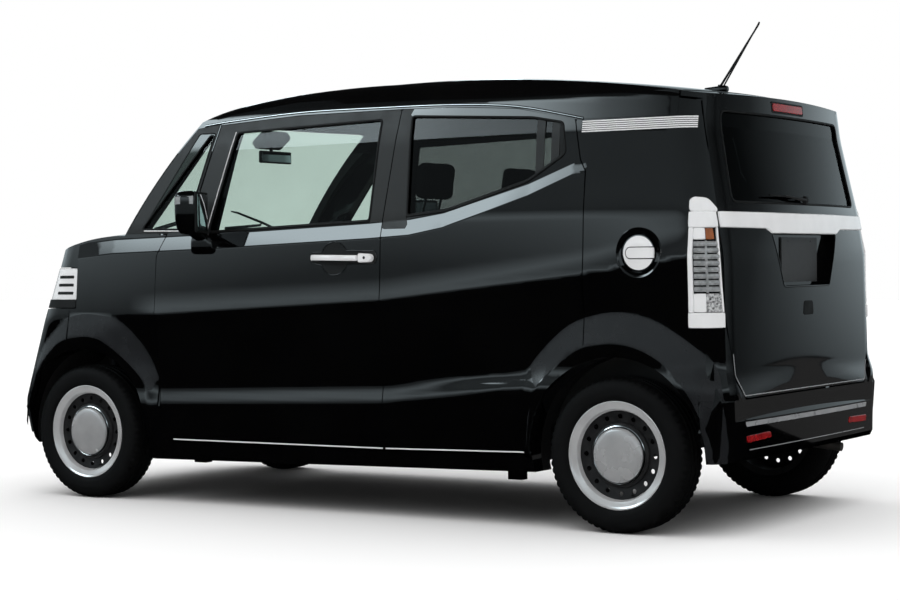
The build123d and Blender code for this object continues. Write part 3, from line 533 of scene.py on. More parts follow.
def sheet_mesh(outline, holes, lines, step, regions):
    """Triangles over an outline in a skin's own coordinates: points, triangles, region of each triangle and
    the runs of the edge."""
    loops = [divided(outline, step)] + [divided(hole, step) for hole in holes]
    points, edges, rims = [], [], []
    for loop in loops:
        first = len(points)
        points += loop
        ring = [(first + i, first + (i + 1) % len(loop)) for i in range(len(loop))]
        edges += ring
        rims.append(ring)
    for line in lines:
        run = divided(line, step, closed=False)
        spots = np.array(run)
        kept = inside_outline(spots, outline) & (distance_to(spots, outline, closed=True) > EDGE_ROOM)
        for hole in holes:
            kept &= ~inside_outline(spots, hole) & (distance_to(spots, hole, closed=True) > HOLE_ROOM)
        for i, p in enumerate(run):
            if kept[i]:
                points.append(p)
                if i and kept[i - 1]:
                    edges.append((len(points) - 2, len(points) - 1))
    bound = np.array(outline, float)
    columns = np.arange(bound[:, 0].min() + step * 0.5, bound[:, 0].max(), step)
    rows = np.arange(bound[:, 1].min() + step * 0.5, bound[:, 1].max(), step)
    grid = np.array([(x + (step * 0.5 if j % 2 else 0), z) for j, z in enumerate(rows)
                     for x in columns]).reshape(-1, 2)
    keep = inside_outline(grid, outline)
    for hole in holes:
        keep &= ~inside_outline(grid, hole)
    grid = grid[keep]
    room = step * GRID_ROOM
    near = distance_to(grid, outline, closed=True) > room
    for hole in holes:
        near &= distance_to(grid, hole, closed=True) > room
    for line in lines:
        near &= distance_to(grid, line) > room
    points += [tuple(p) for p in grid[near]]
    made = delaunay_2d_cdt([Vector(p) for p in points], edges, [], 0, 1e-4)
    flat = np.array([tuple(p) for p in made[0]])
    triangles = np.array([f for f in made[2] if len(f) == 3])
    middle = flat[triangles].mean(1)
    keep = inside_outline(middle, outline)
    for hole in holes:
        keep &= ~inside_outline(middle, hole)
    triangles, middle = triangles[keep], middle[keep]
    area = np.cross(flat[triangles[:, 1]] - flat[triangles[:, 0]],
                    flat[triangles[:, 2]] - flat[triangles[:, 0]])
    triangles = triangles[np.abs(area) > 1e-3]
    middle = flat[triangles].mean(1)
    region = np.zeros(len(triangles), int)
    for index, (polygon, material_index) in enumerate(regions):
        region[inside_outline(middle, polygon)] = material_index
    count = {}
    for a, b, c in triangles:
        for edge in ((a, b), (b, c), (c, a)):
            count[tuple(sorted(edge))] = count.get(tuple(sorted(edge)), 0) + 1
    rim = [edge for triangle in triangles for edge in zip(triangle, np.roll(triangle, -1))
           if count[tuple(sorted(edge))] == 1]
    return flat, triangles, region, rim


def placed(name, body, points, faces, materials, both=True, face_materials=None, normals=None):
    """A piece and, where both is set, its twin across the car; body may be a pair, left and right."""
    made = []
    points = np.asarray(points, float)
    for side in ((1, -1) if both else (1,)):
        sense = faces if side == 1 else [tuple(reversed(f)) for f in faces]
        label = f"{name}_{'left' if side == 1 else 'right'}" if both else name
        rides = body if isinstance(body, str) else body[0 if side == 1 else 1]
        facing = None if normals is None else normals * (1, side, 1)
        piece = made_object(label, points * (1, side, 1), sense, materials, rides, face_materials, facing)
        made.append(piece)
    return made


def skin(name, body, surface, outline, materials, holes=(), lines=(), regions=(), step=16, hem=5, both=True,
         lift=0.0, bevel=0.0):
    """A panel skin over the outline, lifted off the surface, with a bevel and a hem along its edges."""
    flat, triangles, region, rim = sheet_mesh(outline, list(holes), list(lines), step, list(regions))
    points, normals = surface(flat[:, 0], flat[:, 1])
    points = points + normals * lift
    facing = np.cross(points[triangles[:, 1]] - points[triangles[:, 0]],
                      points[triangles[:, 2]] - points[triangles[:, 0]])
    if np.einsum("ij,ij->i", facing, normals[triangles[:, 0]]).mean() < 0:
        triangles = triangles[:, ::-1]
        rim = [(b, a) for a, b in rim]
    outward = {}
    for a, b in rim:
        side = np.cross(points[b] - points[a], normals[a])
        side /= np.linalg.norm(side) + 1e-9
        for v in (a, b):
            outward[v] = outward.get(v, 0) + side
    base, used, extra, extra_normals, quads = len(points), {}, [], [], []
    for v, side in outward.items():
        side = side / (np.linalg.norm(side) + 1e-9)
        used[v] = base + len(extra)
        foot = points[v] + (side - normals[v]) * bevel
        extra += [points[v], foot, points[v] + side * bevel - normals[v] * hem]
        extra_normals += [side * (0.4 if bevel else 1) + normals[v] * (1 if bevel else 0.3),
                          side + normals[v] * 0.2, side]
    for a, b in rim:
        for k in range(2):
            quads.append((used[b] + k, used[a] + k, used[a] + k + 1, used[b] + k + 1))
    points, normals = np.vstack([points, extra]), np.vstack([normals, extra_normals])
    normals /= np.linalg.norm(normals, axis=1)[:, None] + 1e-9
    faces = [tuple(t) for t in triangles] + quads
    face_materials = list(region) + [0] * len(quads)
    return placed(name, body, points, faces, materials, both, face_materials, normals)


def strip(name, body, surface, line, section, material, both=True, closed=False, step=20,
          lift=None):
    """A bar along a line on a surface. Its section is (across, out) points; lift raises it along its run."""
    run = np.array(divided(line, step, closed), float)
    points, normals = surface(run[:, 0], run[:, 1])
    if lift:
        points = points + normals * np.array([lift(t) for t in np.linspace(0, 1, len(points))])[:, None]
    before, after = np.roll(points, 1, 0), np.roll(points, -1, 0)
    if not closed:
        before[0], after[-1] = points[0], points[-1]
    across = np.cross(normals, after - before)
    across /= np.linalg.norm(across, axis=1)[:, None] + 1e-9
    made = [p + a * u + n * v for p, a, n in zip(points, across, normals) for u, v in section]
    return placed(name, body, made, bar_faces(len(points), len(section), closed), [material], both)


def bar_faces(rows, count, closed=False):
    """Faces of a bar of rows of count points round its section, with its ends closed."""
    faces = []
    for i in range(rows if closed else rows - 1):
        for k in range(count):
            a, b = i * count + k, i * count + (k + 1) % count
            c, d = (a + count) % (rows * count), (b + count) % (rows * count)
            faces.append((a, c, d, b))
    if not closed:
        faces += [tuple(range(count)), tuple(reversed(range((rows - 1) * count, rows * count)))]
    return faces


def tube(name, body, path, radius, material, both=False, closed=False, sides=10):
    """A round bar along points in space."""
    path = np.array(path, float)
    before, after = np.roll(path, 1, 0), np.roll(path, -1, 0)
    if not closed:
        before[0], after[-1] = path[0], path[-1]
    forward = after - before
    forward /= np.linalg.norm(forward, axis=1)[:, None]
    aside = np.cross(forward, (0.13, 0.31, 0.94))
    aside /= np.linalg.norm(aside, axis=1)[:, None]
    upward = np.cross(forward, aside)
    radii = np.broadcast_to(radius, len(path))
    made = [p + (a * math.cos(t) + u * math.sin(t)) * r for p, a, u, r in zip(path, aside, upward, radii)
            for t in np.arange(sides) * 2 * math.pi / sides]
    return placed(name, body, made, bar_faces(len(path), sides, closed), [material], both)


def box_points(size, radius, cells):
    """Points and faces of a box whose edges are all turned by a radius."""
    half = np.array(size, float) / 2
    ticks = []
    for h in half:
        flat = max(h - radius, 0)
        bend = [flat + (h - flat) * math.tan(math.radians(a)) for a in (15, 30, 45)]
        middle = list(np.linspace(-flat, flat, cells + 1))
        ticks.append([-b for b in reversed(bend)] + middle + bend)
    index, points, faces = {}, [], []

    def at(p):
        key = tuple(np.round(p, 4))
        if key not in index:
            core = np.clip(p, -(half - radius), half - radius)
            d = np.array(p) - core
            index[key] = len(points)
            points.append(core + d / max(np.linalg.norm(d), 1e-9) * radius)
        return index[key]
    for axis in range(3):
        u, v = ticks[(axis + 1) % 3], ticks[(axis + 2) % 3]
        for sign in (-1, 1):
            for i in range(len(u) - 1):
                for j in range(len(v) - 1):
                    corners = []
                    for a, b in ((u[i], v[j]), (u[i + 1], v[j]), (u[i + 1], v[j + 1]), (u[i], v[j + 1])):
                        p = [0, 0, 0]
                        p[axis], p[(axis + 1) % 3], p[(axis + 2) % 3] = sign * half[axis], a, b
                        corners.append(at(p))
                    faces.append(tuple(corners if sign > 0 else reversed(corners)))
    return np.array(points), faces


def turn_about(axis, degrees):
    """A rotation about one of the frame's axes."""
    return np.array(Matrix.Rotation(math.radians(degrees), 3, axis))


def pad(name, body, centre, size, radius, material, turn=None, shape=None, both=False, cells=4,
        slot="black_plastic"):
    """A round-edged block, bent by shape and turned about its centre."""
    points, faces = box_points(size, radius, cells)
    if shape:
        points = shape(points)
    if turn is not None:
        points = points @ turn.T
    return placed(name, body, points + np.array(centre, float), faces, [material], both)


def eased(value, low, high):
    """A smooth step from 0 at low to 1 at high."""
    t = np.clip((value - low) / (high - low), 0, 1)
    return t * t * (3 - 2 * t)


def straight(value, low, high):
    """A straight step from 0 at low to 1 at high."""
    return np.clip((value - low) / (high - low), 0, 1)


# Lower band of the doors and belt line in side view, as (x, z) from the rear
BAND_TOP = [(-1000, 590), (-888, 573), (-603, 527), (-270, 505), (819, 472)]
BAND_LOW = [(-942, 520), (-268, 432), (819, 398)]
BELT_TOP = [(-1085, 1320), (-905, 1252), (-545, 1154), (-393, 1134), (-206, 1124), (588, 1096), (1100, 1084),
            (1400, 1060)]
CREASE = [(-1700, 1010), (-1548, 985), (-1142, 925), (-278, 831), (840, 775), (1700, 732)]
SHOULDER_RISE = 4
SHOULDER_HEIGHT = 90
BELT_RISE = 13
BELT_HEIGHT = 60
BELT_X, BELT_SHARE, BELT_TALL = (-1134, -880, -400), (0.32, 0.45, 1.0), (0.62, 0.7, 1.0)
DOOR_END_X = -1137
FLARE_RISE = 17
FILL_RISE = 4.5
# Where the raised forms start and end: x along the car, z up it, y across it, and how far over or under the
# crease
BELT_REAR_X, BELT_REAR_Z, BELT_FRONT_X, BELT_UNDER = (-1400, DOOR_END_X), (1180, 1400), (1180, 1500), 220
SHOULDER_Y, SHOULDER_FRONT_X, SHOULDER_UNDER = (560, 690), (860, 1000), 160
FILL_X, FILL_LOW_Z, FILL_TOP_Z, FILL_REAR_X = (-620, -300), (400, 450), (500, 560), -1100
FLARE_Y = (640, 662)
# Flares. Columns: x, z at the outer edge, x, z at the ridge
FRONT_FLARE = np.array([
    (846, 262, 893, 262), (848, 400, 898, 400), (854, 506, 915, 479), (881, 572, 959, 529),
    (934, 655, 1047, 603), (1050, 756, 1159, 670), (1225, 776, 1238, 680), (1338, 765, 1330, 671),
    (1425, 710, 1397, 654), (1500, 640, 1460, 606), (1570, 540, 1520, 546), (1610, 420, 1565, 430),
    (1625, 262, 1585, 262),
], float)
REAR_FLARE = np.array([
    (-868, 262, -893, 262), (-872, 420, -912, 420), (-888, 573, -942, 520), (-978, 669, -1018, 590),
    (-1082, 752, -1122, 663), (-1249, 794, -1262, 681), (-1403, 768, -1362, 659), (-1545, 688, -1456, 608),
    (-1649, 602, -1555, 502), (-1673, 500, -1600, 405), (-1681, 406, -1618, 330), (-1684, 262, -1625, 262),
], float)


def along(line, x):
    """Height of a line of straight runs at x."""
    return np.interp(x, [p[0] for p in line], [p[1] for p in line])


def smooth_line(rows, count=6):
    """A flare's line with its corners rounded."""
    return rounded([tuple(r) for r in rows], 70, closed=False, count=count)


FRONT_FLARE_LINES, REAR_FLARE_LINES = ([smooth_line(rows[:, :2]), smooth_line(rows[:, 2:])]
                                       for rows in (FRONT_FLARE, REAR_FLARE))


def flare_share(x, z):
    """How far up a flare's sloping face a place is, from 0 outside the flare to 1 on its lip."""
    points = np.stack([x, z], 1)
    share = np.zeros(len(x))
    for outer, ridge in (FRONT_FLARE_LINES, REAR_FLARE_LINES):
        to_outer, to_ridge = distance_to(points, outer), distance_to(points, ridge)
        slope = inside_outline(points, outer)
        lip = inside_outline(points, ridge)
        share = np.where(slope, to_outer / (to_outer + to_ridge + 1e-6), share)
        share = np.where(lip, 1.0, share)
    return share


def side_raise(s, x, y, z):
    """How far the side's panels stand out from the plain skin, at a run s along it."""
    drop = along(BELT_TOP, x) - z
    over = z - along(CREASE, x)
    share, tall = np.interp(x, BELT_X, BELT_SHARE), np.interp(x, BELT_X, BELT_TALL)
    belt = share * straight(drop, 0, BELT_HEIGHT * tall)
    behind = BELT_SHARE[0] * straight(x, *BELT_REAR_X) * (1 - eased(z, *BELT_REAR_Z))
    belt = np.where(x < DOOR_END_X, behind, belt) * (1 - eased(-over, 0, BELT_UNDER))
    belt = belt * (1 - straight(x, *BELT_FRONT_X))
    above, below = np.maximum(1 - over / SHOULDER_HEIGHT, 0) ** 2, 1 - eased(-over, 0, SHOULDER_UNDER)
    shoulder = np.where(over > 0, above, below) * straight(y, *SHOULDER_Y)
    shoulder = shoulder * (1 - straight(x, *SHOULDER_FRONT_X))
    span = (1 - straight(x, *FILL_X)) * (x > FILL_REAR_X)
    fill = span * eased(z, *FILL_LOW_Z) * (1 - eased(z, *FILL_TOP_Z))
    flare = flare_share(s, z) * straight(y, *FLARE_Y)
    return BELT_RISE * belt + SHOULDER_RISE * shoulder + FILL_RISE * fill + FLARE_RISE * flare


def level_height(x, z):
    """Height on the plain levels that a height on the finished side stands for: its creases run along the
    car's own lines, and the levels' between straight ends."""
    share = x / LENGTH + 0.5
    marks = [(0, 0), (300, 300), (along(BAND_LOW, x), 476 - 105 * share),
             (along(BAND_TOP, x), 548 - 103 * share), (along(CREASE, x), 988 - 298 * share), (1118, 1118),
             (2000, 2000)]
    lifted = z.astype(float)
    for (z0, level0), (z1, level1) in zip(marks, marks[1:]):
        inside = (z >= z0) & (z < z1)
        lifted = np.where(inside, level0 + (level1 - level0) * (z - z0) / (z1 - z0 + 0 * x), lifted)
    return lifted


def stood_off(grid, amount):
    """A grid of points moved out along its normals, away from the middle of the car."""
    normal = np.cross(np.gradient(grid, axis=0), np.gradient(grid, axis=1))
    normal /= np.linalg.norm(normal, axis=2)[:, :, None] + 1e-12
    normal *= np.sign((normal * (grid - np.array([0, 0, 900]))).sum(2))[:, :, None]
    return grid + normal * amount


def side_look():
    """The finished side: plain skin with its creases rounded, and the shoulder, belt and flares on it."""
    s_axis, z_axis = np.arange(-2300, 2304, 6.0), np.arange(150, 1640, 5.0)
    s, z = np.meshgrid(s_axis, z_axis, indexing="ij")
    plain = grid_of(plan_point, s_axis, z_axis)
    lifted = level_height(plain[:, :, 0].ravel(), z.ravel())
    base = plan_point(s.ravel(), lifted).reshape(*z.shape, 3)
    base[:, :, 2] = z
    look = tabulated(blurred(base, SMOOTH, 6), s_axis, z_axis)

    def raised(a, b):
        points, normals = look(a, b)
        heights = []
        for da, db in ((0, 0), (3, 0), (-3, 0), (0, 3), (0, -3)):
            near = look(a + da, b + db)[0] if da or db else points
            heights.append(side_raise(a + da, near[:, 0], near[:, 1], near[:, 2]))
        along_run = look(a + 3, b)[0] - look(a - 3, b)[0]
        up_run = look(a, b + 3)[0] - look(a, b - 3)[0]
        turn = ((heights[1] - heights[2]) / (along_run ** 2).sum(1))[:, None] * along_run
        turn = turn + ((heights[3] - heights[4]) / (up_run ** 2).sum(1))[:, None] * up_run
        facing = normals - turn
        facing /= np.linalg.norm(facing, axis=1)[:, None]
        flat = normals * (1, 1, 0)
        flat /= np.linalg.norm(flat, axis=1)[:, None]
        return points + flat * (PROUD + heights[0])[:, None], facing
    return raised


def rear_look():
    """The finished tail."""
    y_axis, z_axis = np.arange(-700, 704, 5.0), np.arange(200, 1600, 5.0)
    base = grid_of(rear_point, y_axis, z_axis)
    x = base[:, :, 0]
    base[:, :, 0] = np.where(base[:, :, 2] < STEP_TOP, np.maximum(x, STEP_FACE), x) - PROUD
    return tabulated(blurred(base, SMOOTH, 5), y_axis, z_axis)


def roof_look():
    """The finished roof."""
    x_axis, v_axis = np.arange(-1700, 1500, 8.0), np.arange(-1000, 1004, 8.0)
    base = blurred(grid_of(roof_point, x_axis, v_axis), 12, 8)
    return tabulated(stood_off(base, 2.4), x_axis, v_axis, flip=True)


SIDE, REAR, ROOF = side_look(), rear_look(), roof_look()


def spot(surface, a, b):
    """One point on a skin."""
    return surface(np.array([float(a)]), np.array([float(b)]))[0][0]


def at_roof(x, z):
    """The place v on the roof's skin where its side reaches the height z."""
    x = np.array([float(x)])
    edge = roof_edge(x)
    return float(edge[0] + (profile_height(x, edge)[0] - z) / ROOF_DROP)


def past_corner(y, width, radius):
    """How far round a corner, and on across the end, a place y is."""
    face = width - radius
    turn = math.acos(min(max((y - face) / radius, 0), 1))
    return radius * turn + max(face - y, 0)


def at_tail(y, z):
    """The place s along the side skin where the tail reaches y at the height z."""
    sizes = blended_sizes(np.array([TAIL_X]), np.array([float(z)]))
    _, _, rear_w, _, _, _, rear_x, rear_crown, rear_r = (float(size[0]) for size in sizes)
    return rear_x + rear_crown + rear_r - past_corner(y, rear_w, rear_r)


def at_nose(y, z):
    """The place s along the side skin where the nose reaches y at the height z."""
    sizes = blended_sizes(np.array([NOSE_X]), np.array([float(z)]))
    _, front_w, _, front_x, front_crown, front_r, _, _, _ = (float(size[0]) for size in sizes)
    return front_x - front_crown - front_r + past_corner(y, front_w, front_r)


def arch_points(axle_x, start, end, radius=ARCH_RADIUS + 1):
    """Points round a wheel opening between two angles in degrees."""
    count = max(2, int(abs(end - start) / 3))
    return [on_circle(axle_x, AXLE_Z, radius, start + (end - start) * i / count) for i in range(count + 1)]


def round_points(x, z, radius, count=48):
    """Points round a circle."""
    return [on_circle(x, z, radius, 360 * i / count) for i in range(count)]


def flare_band(lines, low_z):
    """Outline of a flare's sloping face above a height."""
    outer, ridge = lines
    return [p for p in outer if p[1] > low_z] + [p for p in ridge if p[1] > low_z - 60][::-1]


def belt_line(share):
    """The line at a share of the way down the belt's bevel."""
    run = divided(BELT_TOP, 40, closed=False)
    return [(x, z - share * BELT_HEIGHT * float(np.interp(x, BELT_X, BELT_TALL))) for x, z in run]


# Panels. Lines in pairs hold the mesh tight along creases and both edges of the belt's bevel
FRONT_DOORS = ("front_door_left", "front_door_right")
REAR_DOORS = ("rear_door_left", "rear_door_right")
belt_lines = [belt_line(share) for share in (-0.07, 0, 0.07, 0.93, 1, 1.07)]
crease_lines = [BAND_TOP, BAND_LOW, CREASE, [(x, z + 6) for x, z in CREASE]] + belt_lines

skin("door_front_skin", FRONT_DOORS, SIDE, rounded(grown(FRONT_DOOR, 2), 8), [PAINT, SATIN],
     holes=[rounded(grown(FRONT_WINDOW, -1), 14)], lines=crease_lines,
     regions=[([(-300, 1128), (-206, 1128), (588, 1100), (720, 1102), (620, 1590), (-400, 1590)], 1)], hem=4)
skin("door_rear_skin", REAR_DOORS, SIDE, rounded(grown(REAR_DOOR, 2), 8), [PAINT, SATIN, ARCH_GREY],
     holes=[rounded(grown(REAR_WINDOW, -1), 14)],
     lines=crease_lines + REAR_FLARE_LINES,
     regions=[([(-378, 1146), (-375, 1526), (-380, 1580), (-200, 1580), (-200, 1100), (-378, 1100)], 1),
              (flare_band(REAR_FLARE_LINES, 572), 2)], hem=4)

quarter_edge = [(-892, 262), (-904, 402), (-930, 478), (-986, 554), (-1075, 634), (-1140, 669), (-1140, 1292),
                (-1116, 1334), (-1088, 1474)]
TAIL_END = ((624, 1474), (632, 1380), (640, 1260), (646, 1166), (661, 1144), (661, 1137))
tail_edge = [(at_tail(y, z), z) for y, z in TAIL_END]
lamp_edge = [(-1547, 1137), (-1547, 733)]
low_edge = [(at_tail(y, z), z) for y, z in ((661, 733), (646, 690), (618, 562), (612, 530), (600, 480))]
quarter = (quarter_edge + tail_edge + lamp_edge + low_edge + [(-1588, 480), (-1588, 396)] +
           arch_points(AXLES["rear"], 161, 0) + [(-908, 262)])
skin("quarter_skin", "body", SIDE, quarter, [PAINT, ARCH_GREY], lines=REAR_FLARE_LINES,
     holes=[round_points(*FUEL_LID, 88)], regions=[(flare_band(REAR_FLARE_LINES, 300), 1)], hem=20)
rear_end = [(at_tail(y, z), z) for y, z in ((668, 478), (676, 400), (676, 300), (668, 262))]
corner = [(-1592, 478)] + rear_end + [(-1612, 262)] + arch_points(AXLES["rear"], 180, 163)
skin("rear_corner_skin", "body", SIDE, corner, [ARCH_GREY], lines=REAR_FLARE_LINES, hem=12, step=12)

wing = [
    (862, 262), (858, 520), (860, 900), (858, 1010), (816, 1098), (1051, 1091), (1250, 1074), (1302, 1062),
    (1302, 969), (1302, 795), (1342, 795), (1342, 620),
]
wing += arch_points(AXLES["front"], 76, 180) + [(912, 262)]
skin("wing_skin", "body", SIDE, wing, [PAINT, ARCH_GREY],
     lines=FRONT_FLARE_LINES + belt_lines, regions=[(flare_band(FRONT_FLARE_LINES, 505), 1)], hem=12)
NOSE_END = ((640, 793), (655, 700), (665, 600), (672, 500), (672, 400), (668, 262))
front_end = [(at_nose(y, z), z) for y, z in NOSE_END]
corner = [(1344, 793)] + front_end + [(1614, 262)] + arch_points(AXLES["front"], 0, 75)
skin("front_corner_skin", "body", SIDE, corner, [PAINT, ARCH_GREY], lines=FRONT_FLARE_LINES,
     regions=[(flare_band(FRONT_FLARE_LINES, 300), 1)], hem=12, step=12)

window_outline, recess_outline = rounded(mirrored(BACK_WINDOW), 30), rounded(mirrored(PLATE_RECESS), 16)
skin("tailgate_skin", "tailgate_door", REAR, rounded(grown(mirrored(TAILGATE_LOW), 2), 20), [PAINT],
     holes=[window_outline, recess_outline], both=False, hem=4)

# Roof, down to the tops of the doors
door_tops = [(572, 1538), (170, 1557), (-323, 1556), (-560, 1552), (-836, 1533), (-1084, 1480), (-1486, 1478)]
run = divided(door_tops, 40, closed=False)
side_run = [(x, at_roof(x, z)) for x, z in run]
front_run = [(640, 610), (676, 560), (720, 400), (752, 200), (762, 0)]
left = [(-1484, 0)] + side_run[::-1] + front_run[:-1]
roof_outline = left[1:] + [(762, 0)] + [(x, -v) for x, v in reversed(left[1:])]
skin("roof_skin", "body", ROOF, roof_outline, [PAINT], both=False, hem=6, step=24)


def smooth_run(points, radius=30):
    """A line with its corners rounded, divided for a strip."""
    return rounded(points, radius, closed=False)


def lathe(name, profile, centre, side, body, material, segments=96, cut=None):
    """A piece turned about an axis across the car from (radius, distance out) points; cut gives what is taken
    off the radius at a turn, a radius and a distance out."""
    count = len(profile)
    points, faces = [], []
    for k in range(segments):
        for r, out in profile:
            left = r - cut(k, r, out) if cut else r
            x, z = on_circle(centre[0], centre[2], left, 360 * k / segments)
            points.append((x, centre[1] + side * out, z))
        for i in range(count - 1):
            a, d = k * count + i, (k + 1) % segments * count + i
            faces.append((a, a + 1, d + 1, d) if side > 0 else (d, d + 1, a + 1, a))
    made = made_object(name, points, faces, [material], body)
    return made


RING = [(194.5, 60), (195, 66), (194, 69.5), (191.5, 70), (187, 67.4), (180, 65.4), (171, 63.2), (166, 61.6),
        (163, 57), (161, 48), (159, 44)]
CAP_BASE = [(117, 37), (116, 43), (113, 46), (104, 49), (100, 49)]
CAP_RING = [(106, 49), (105.5, 51.5), (103, 52.5), (100.5, 51.5), (99, 49)]
CAP = [(98, 48), (98, 57), (96, 61), (90, 64), (78, 66), (60, 67.2), (30, 67.8), (0.01, 68)]
for end, axle_x in AXLES.items():
    for hand, side in (("left", 1), ("right", -1)):
        centre, body = (axle_x, side * TRACK_HALF, AXLE_Z), f"road_wheel_{end}_{hand}"
        for part, profile, material in (("rim_ring", RING, POLISHED), ("cap_base", CAP_BASE, STEEL),
                                        ("cap_ring", CAP_RING, CHROME), ("hub_cap", CAP, SILVER)):
            lathe(f"{part}_{end}_{hand}", profile, centre, side, body, material)

# Trim along the sides


def half_round(width, height):
    """Section of a moulding: a low arch on the surface."""
    arch = [on_oval(0, 0, -width / 2, height, a) for a in range(0, 181, 30)]
    return [(-width / 2, -1.0)] + arch + [(width / 2, -1.0)]


MOULDING = [(664, 1538), (560, 1548), (172, 1571), (-530, 1563), (-836, 1544), (-1116, 1482)]
strip("roof_moulding", "body", SIDE, smooth_run(MOULDING, 200), half_round(11, 4.5), CHROME)
GARNISH_X, GARNISH_LOW, GARNISH_HIGH = (-1112, -1562), 1430, 1474
garnish = [(x, z) for x, heights in zip(GARNISH_X, ((GARNISH_LOW, GARNISH_HIGH), (GARNISH_HIGH, GARNISH_LOW)))
           for z in heights]
skin("garnish_base", "body", SIDE, garnish, [SATIN], lift=0.8, hem=3)
RIBS = 6
pitch = (GARNISH_HIGH - GARNISH_LOW) / RIBS
for row in range(RIBS):
    z = GARNISH_LOW + (row + 0.5) * pitch
    strip(f"garnish_rib_{row + 1}", "body", SIDE, [(GARNISH_X[0] - 3, z), (GARNISH_X[1] + 3, z)],
          half_round(pitch * 0.72, 3.2), BRIGHT, step=14)


def seal(name, body, outline, width=9, height=3.5, closed=True):
    """A rubber seal round a window."""
    strip(name, body, SIDE, rounded(outline, 14, closed=closed), half_round(width, height), SEAL,
          closed=closed)


seal("front_window_seal", FRONT_DOORS, FRONT_WINDOW)
seal("rear_window_seal", REAR_DOORS, REAR_WINDOW)
seal("quarter_window_seal", "body", QUARTER_WINDOW, 8, 2.5)
strip("front_window_edge", FRONT_DOORS, SIDE, smooth_run([(597, 1112), (490, 1506)]), half_round(4, 4),
      BRIGHT)
strip("quarter_window_edge", "body", SIDE, [(938, 1116), (722, 1112)], half_round(5, 3), BRIGHT)
strip("belt_seal_front", FRONT_DOORS, SIDE, [(584, 1104), (-206, 1132)], half_round(12, 5), SEAL)
strip("belt_seal_rear", REAR_DOORS, SIDE,
      smooth_run([(-376, 1146), (-560, 1163), (-900, 1261), (-1040, 1350)]), half_round(10, 5), SEAL)
window_foot = REAR_WINDOW[4:6]
DIVIDERS = {"divider_bar_rear": (-962, -928), "divider_bar_front": (-1024, -991)}
for label, (x_rear, x_front) in DIVIDERS.items():
    outline = [(x_rear, along(window_foot, x_rear) + 5), (x_rear + 2, 1490), (x_front + 2, 1493),
               (x_front, along(window_foot, x_front) + 6)]
    skin(label, REAR_DOORS, SIDE, rounded(outline, 4), [SATIN], lift=-3, hem=3)
skin("hidden_handle_cup", REAR_DOORS, SIDE,
     rounded([(-1027, 1346), (-1022, 1480), (-1036, 1470), (-1050, 1362)], 5), [SEAL], lift=-3.4, hem=2)
strip("door_lower_edge_front", FRONT_DOORS, SIDE, [(786, 263), (-252, 266)], half_round(5, 1.2), BRIGHT)
strip("door_lower_edge_rear", REAR_DOORS, SIDE, [(-266, 266), (-880, 276)], half_round(5, 1.2), BRIGHT)

# Front door handles: a flat black sheet that paints in the shade of the handle's dish, a bright bar across it
# and a lock cap
HANDLE_Z = 993
HANDLE_FRONT, HANDLE_REAR, LOCK_FRONT = 48, -236, -176
DISH_X, DISH_RADIUS = -52, 62


def dish_outline(grow):
    """Outline round the handle: an oval dish with the bar's own slim slot to each side."""
    front, rear, high = HANDLE_FRONT + grow, HANDLE_REAR - grow, HANDLE_Z + grow
    low = HANDLE_Z - grow
    slot = [(front + 16, HANDLE_Z + 2), (front + 6, high + 20)]
    upper, lower = ([on_circle(DISH_X, HANDLE_Z - 2, DISH_RADIUS + grow, a) for a in angles]
                    for angles in (range(24, 160, 8), range(200, 340, 8)))
    far = [(rear - 4, high + 24), (rear - 16, HANDLE_Z + 2), (rear - 4, low - 20)]
    return rounded(slot + upper + far + lower + [(front + 6, low - 18)], 7)


# Painted shade: the dish is not sunk into the door. A flat black sheet just off the skin stands in for the
# shade inside the recess.
skin("handle_dish", FRONT_DOORS, SIDE, dish_outline(0), [SEAL], lift=0.6, hem=2)
strip("handle_dish_lip", FRONT_DOORS, SIDE, dish_outline(2), half_round(5, 2.4), PAINT, closed=True, step=8)
HANDLE_SECTION = [on_oval(0, 5, 11, 7, a) for a in range(0, 360, 24)]
strip("door_handle", FRONT_DOORS, SIDE, [(HANDLE_FRONT, HANDLE_Z + 2), (LOCK_FRONT + 4, HANDLE_Z - 2)],
      HANDLE_SECTION, BRIGHT, step=8,
      lift=lambda t: 3 + 24 * math.sin(math.pi * min(t * 1.15 + 0.02, 0.86)) ** 0.6)
lock_outline = [(LOCK_FRONT, HANDLE_Z - 15), (LOCK_FRONT, HANDLE_Z + 13), (HANDLE_REAR + 8, HANDLE_Z + 10),
                (HANDLE_REAR, HANDLE_Z - 2), (HANDLE_REAR + 8, HANDLE_Z - 13)]
skin("lock_cap", FRONT_DOORS, SIDE, rounded(lock_outline, 6), [BRIGHT], lift=20, bevel=4, hem=22)
skin("key_hole", FRONT_DOORS, SIDE, round_points(-205, HANDLE_Z - 1, 5.5, 20), [SEAL], lift=20.6, hem=1)

# Fuel lid: a bright disc in a dark dish, with a grip across it
lid_x, lid_z = FUEL_LID
lid_face = max(float(spot(SIDE, lid_x, lid_z)[1]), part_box("fuel_lid")[1][1] * 1000 + 2)
LID_FOOT = 716
DISH = [(90, -2.6), (88, 0.6), (85, 0.2), (78, -4), (70, -5)]
LID = [(63.5, -5), (62, -2.5), (58, -1.4), (30, -0.8), (0.01, -0.6)]
lathe("fuel_dish", [(r, lid_face + out) for r, out in DISH], (lid_x, 0, lid_z), 1, "body", PAINT)
lathe("fuel_lid_face", [(63, LID_FOOT)] + [(r, lid_face + out) for r, out in LID], (lid_x, 0, lid_z), 1,
      "fuel_flap", BRIGHT)


def lid_plane(x, z):
    """Points and normals on the fuel lid's flat face."""
    return np.stack([x, np.full_like(x, lid_face - 1.0), z], 1), np.tile([0.0, 1.0, 0.0], (len(x), 1))


def grip_outline(grow):
    """Outline of the lid's grip: rounded at its front end, cut off at the rear."""
    bend = [on_oval(lid_x + 32, lid_z, 17 + grow, 19 + grow, a) for a in range(-90, 91, 15)]
    return bend + [(lid_x - 60, lid_z + 19 + grow), (lid_x - 60, lid_z - 19 - grow)]


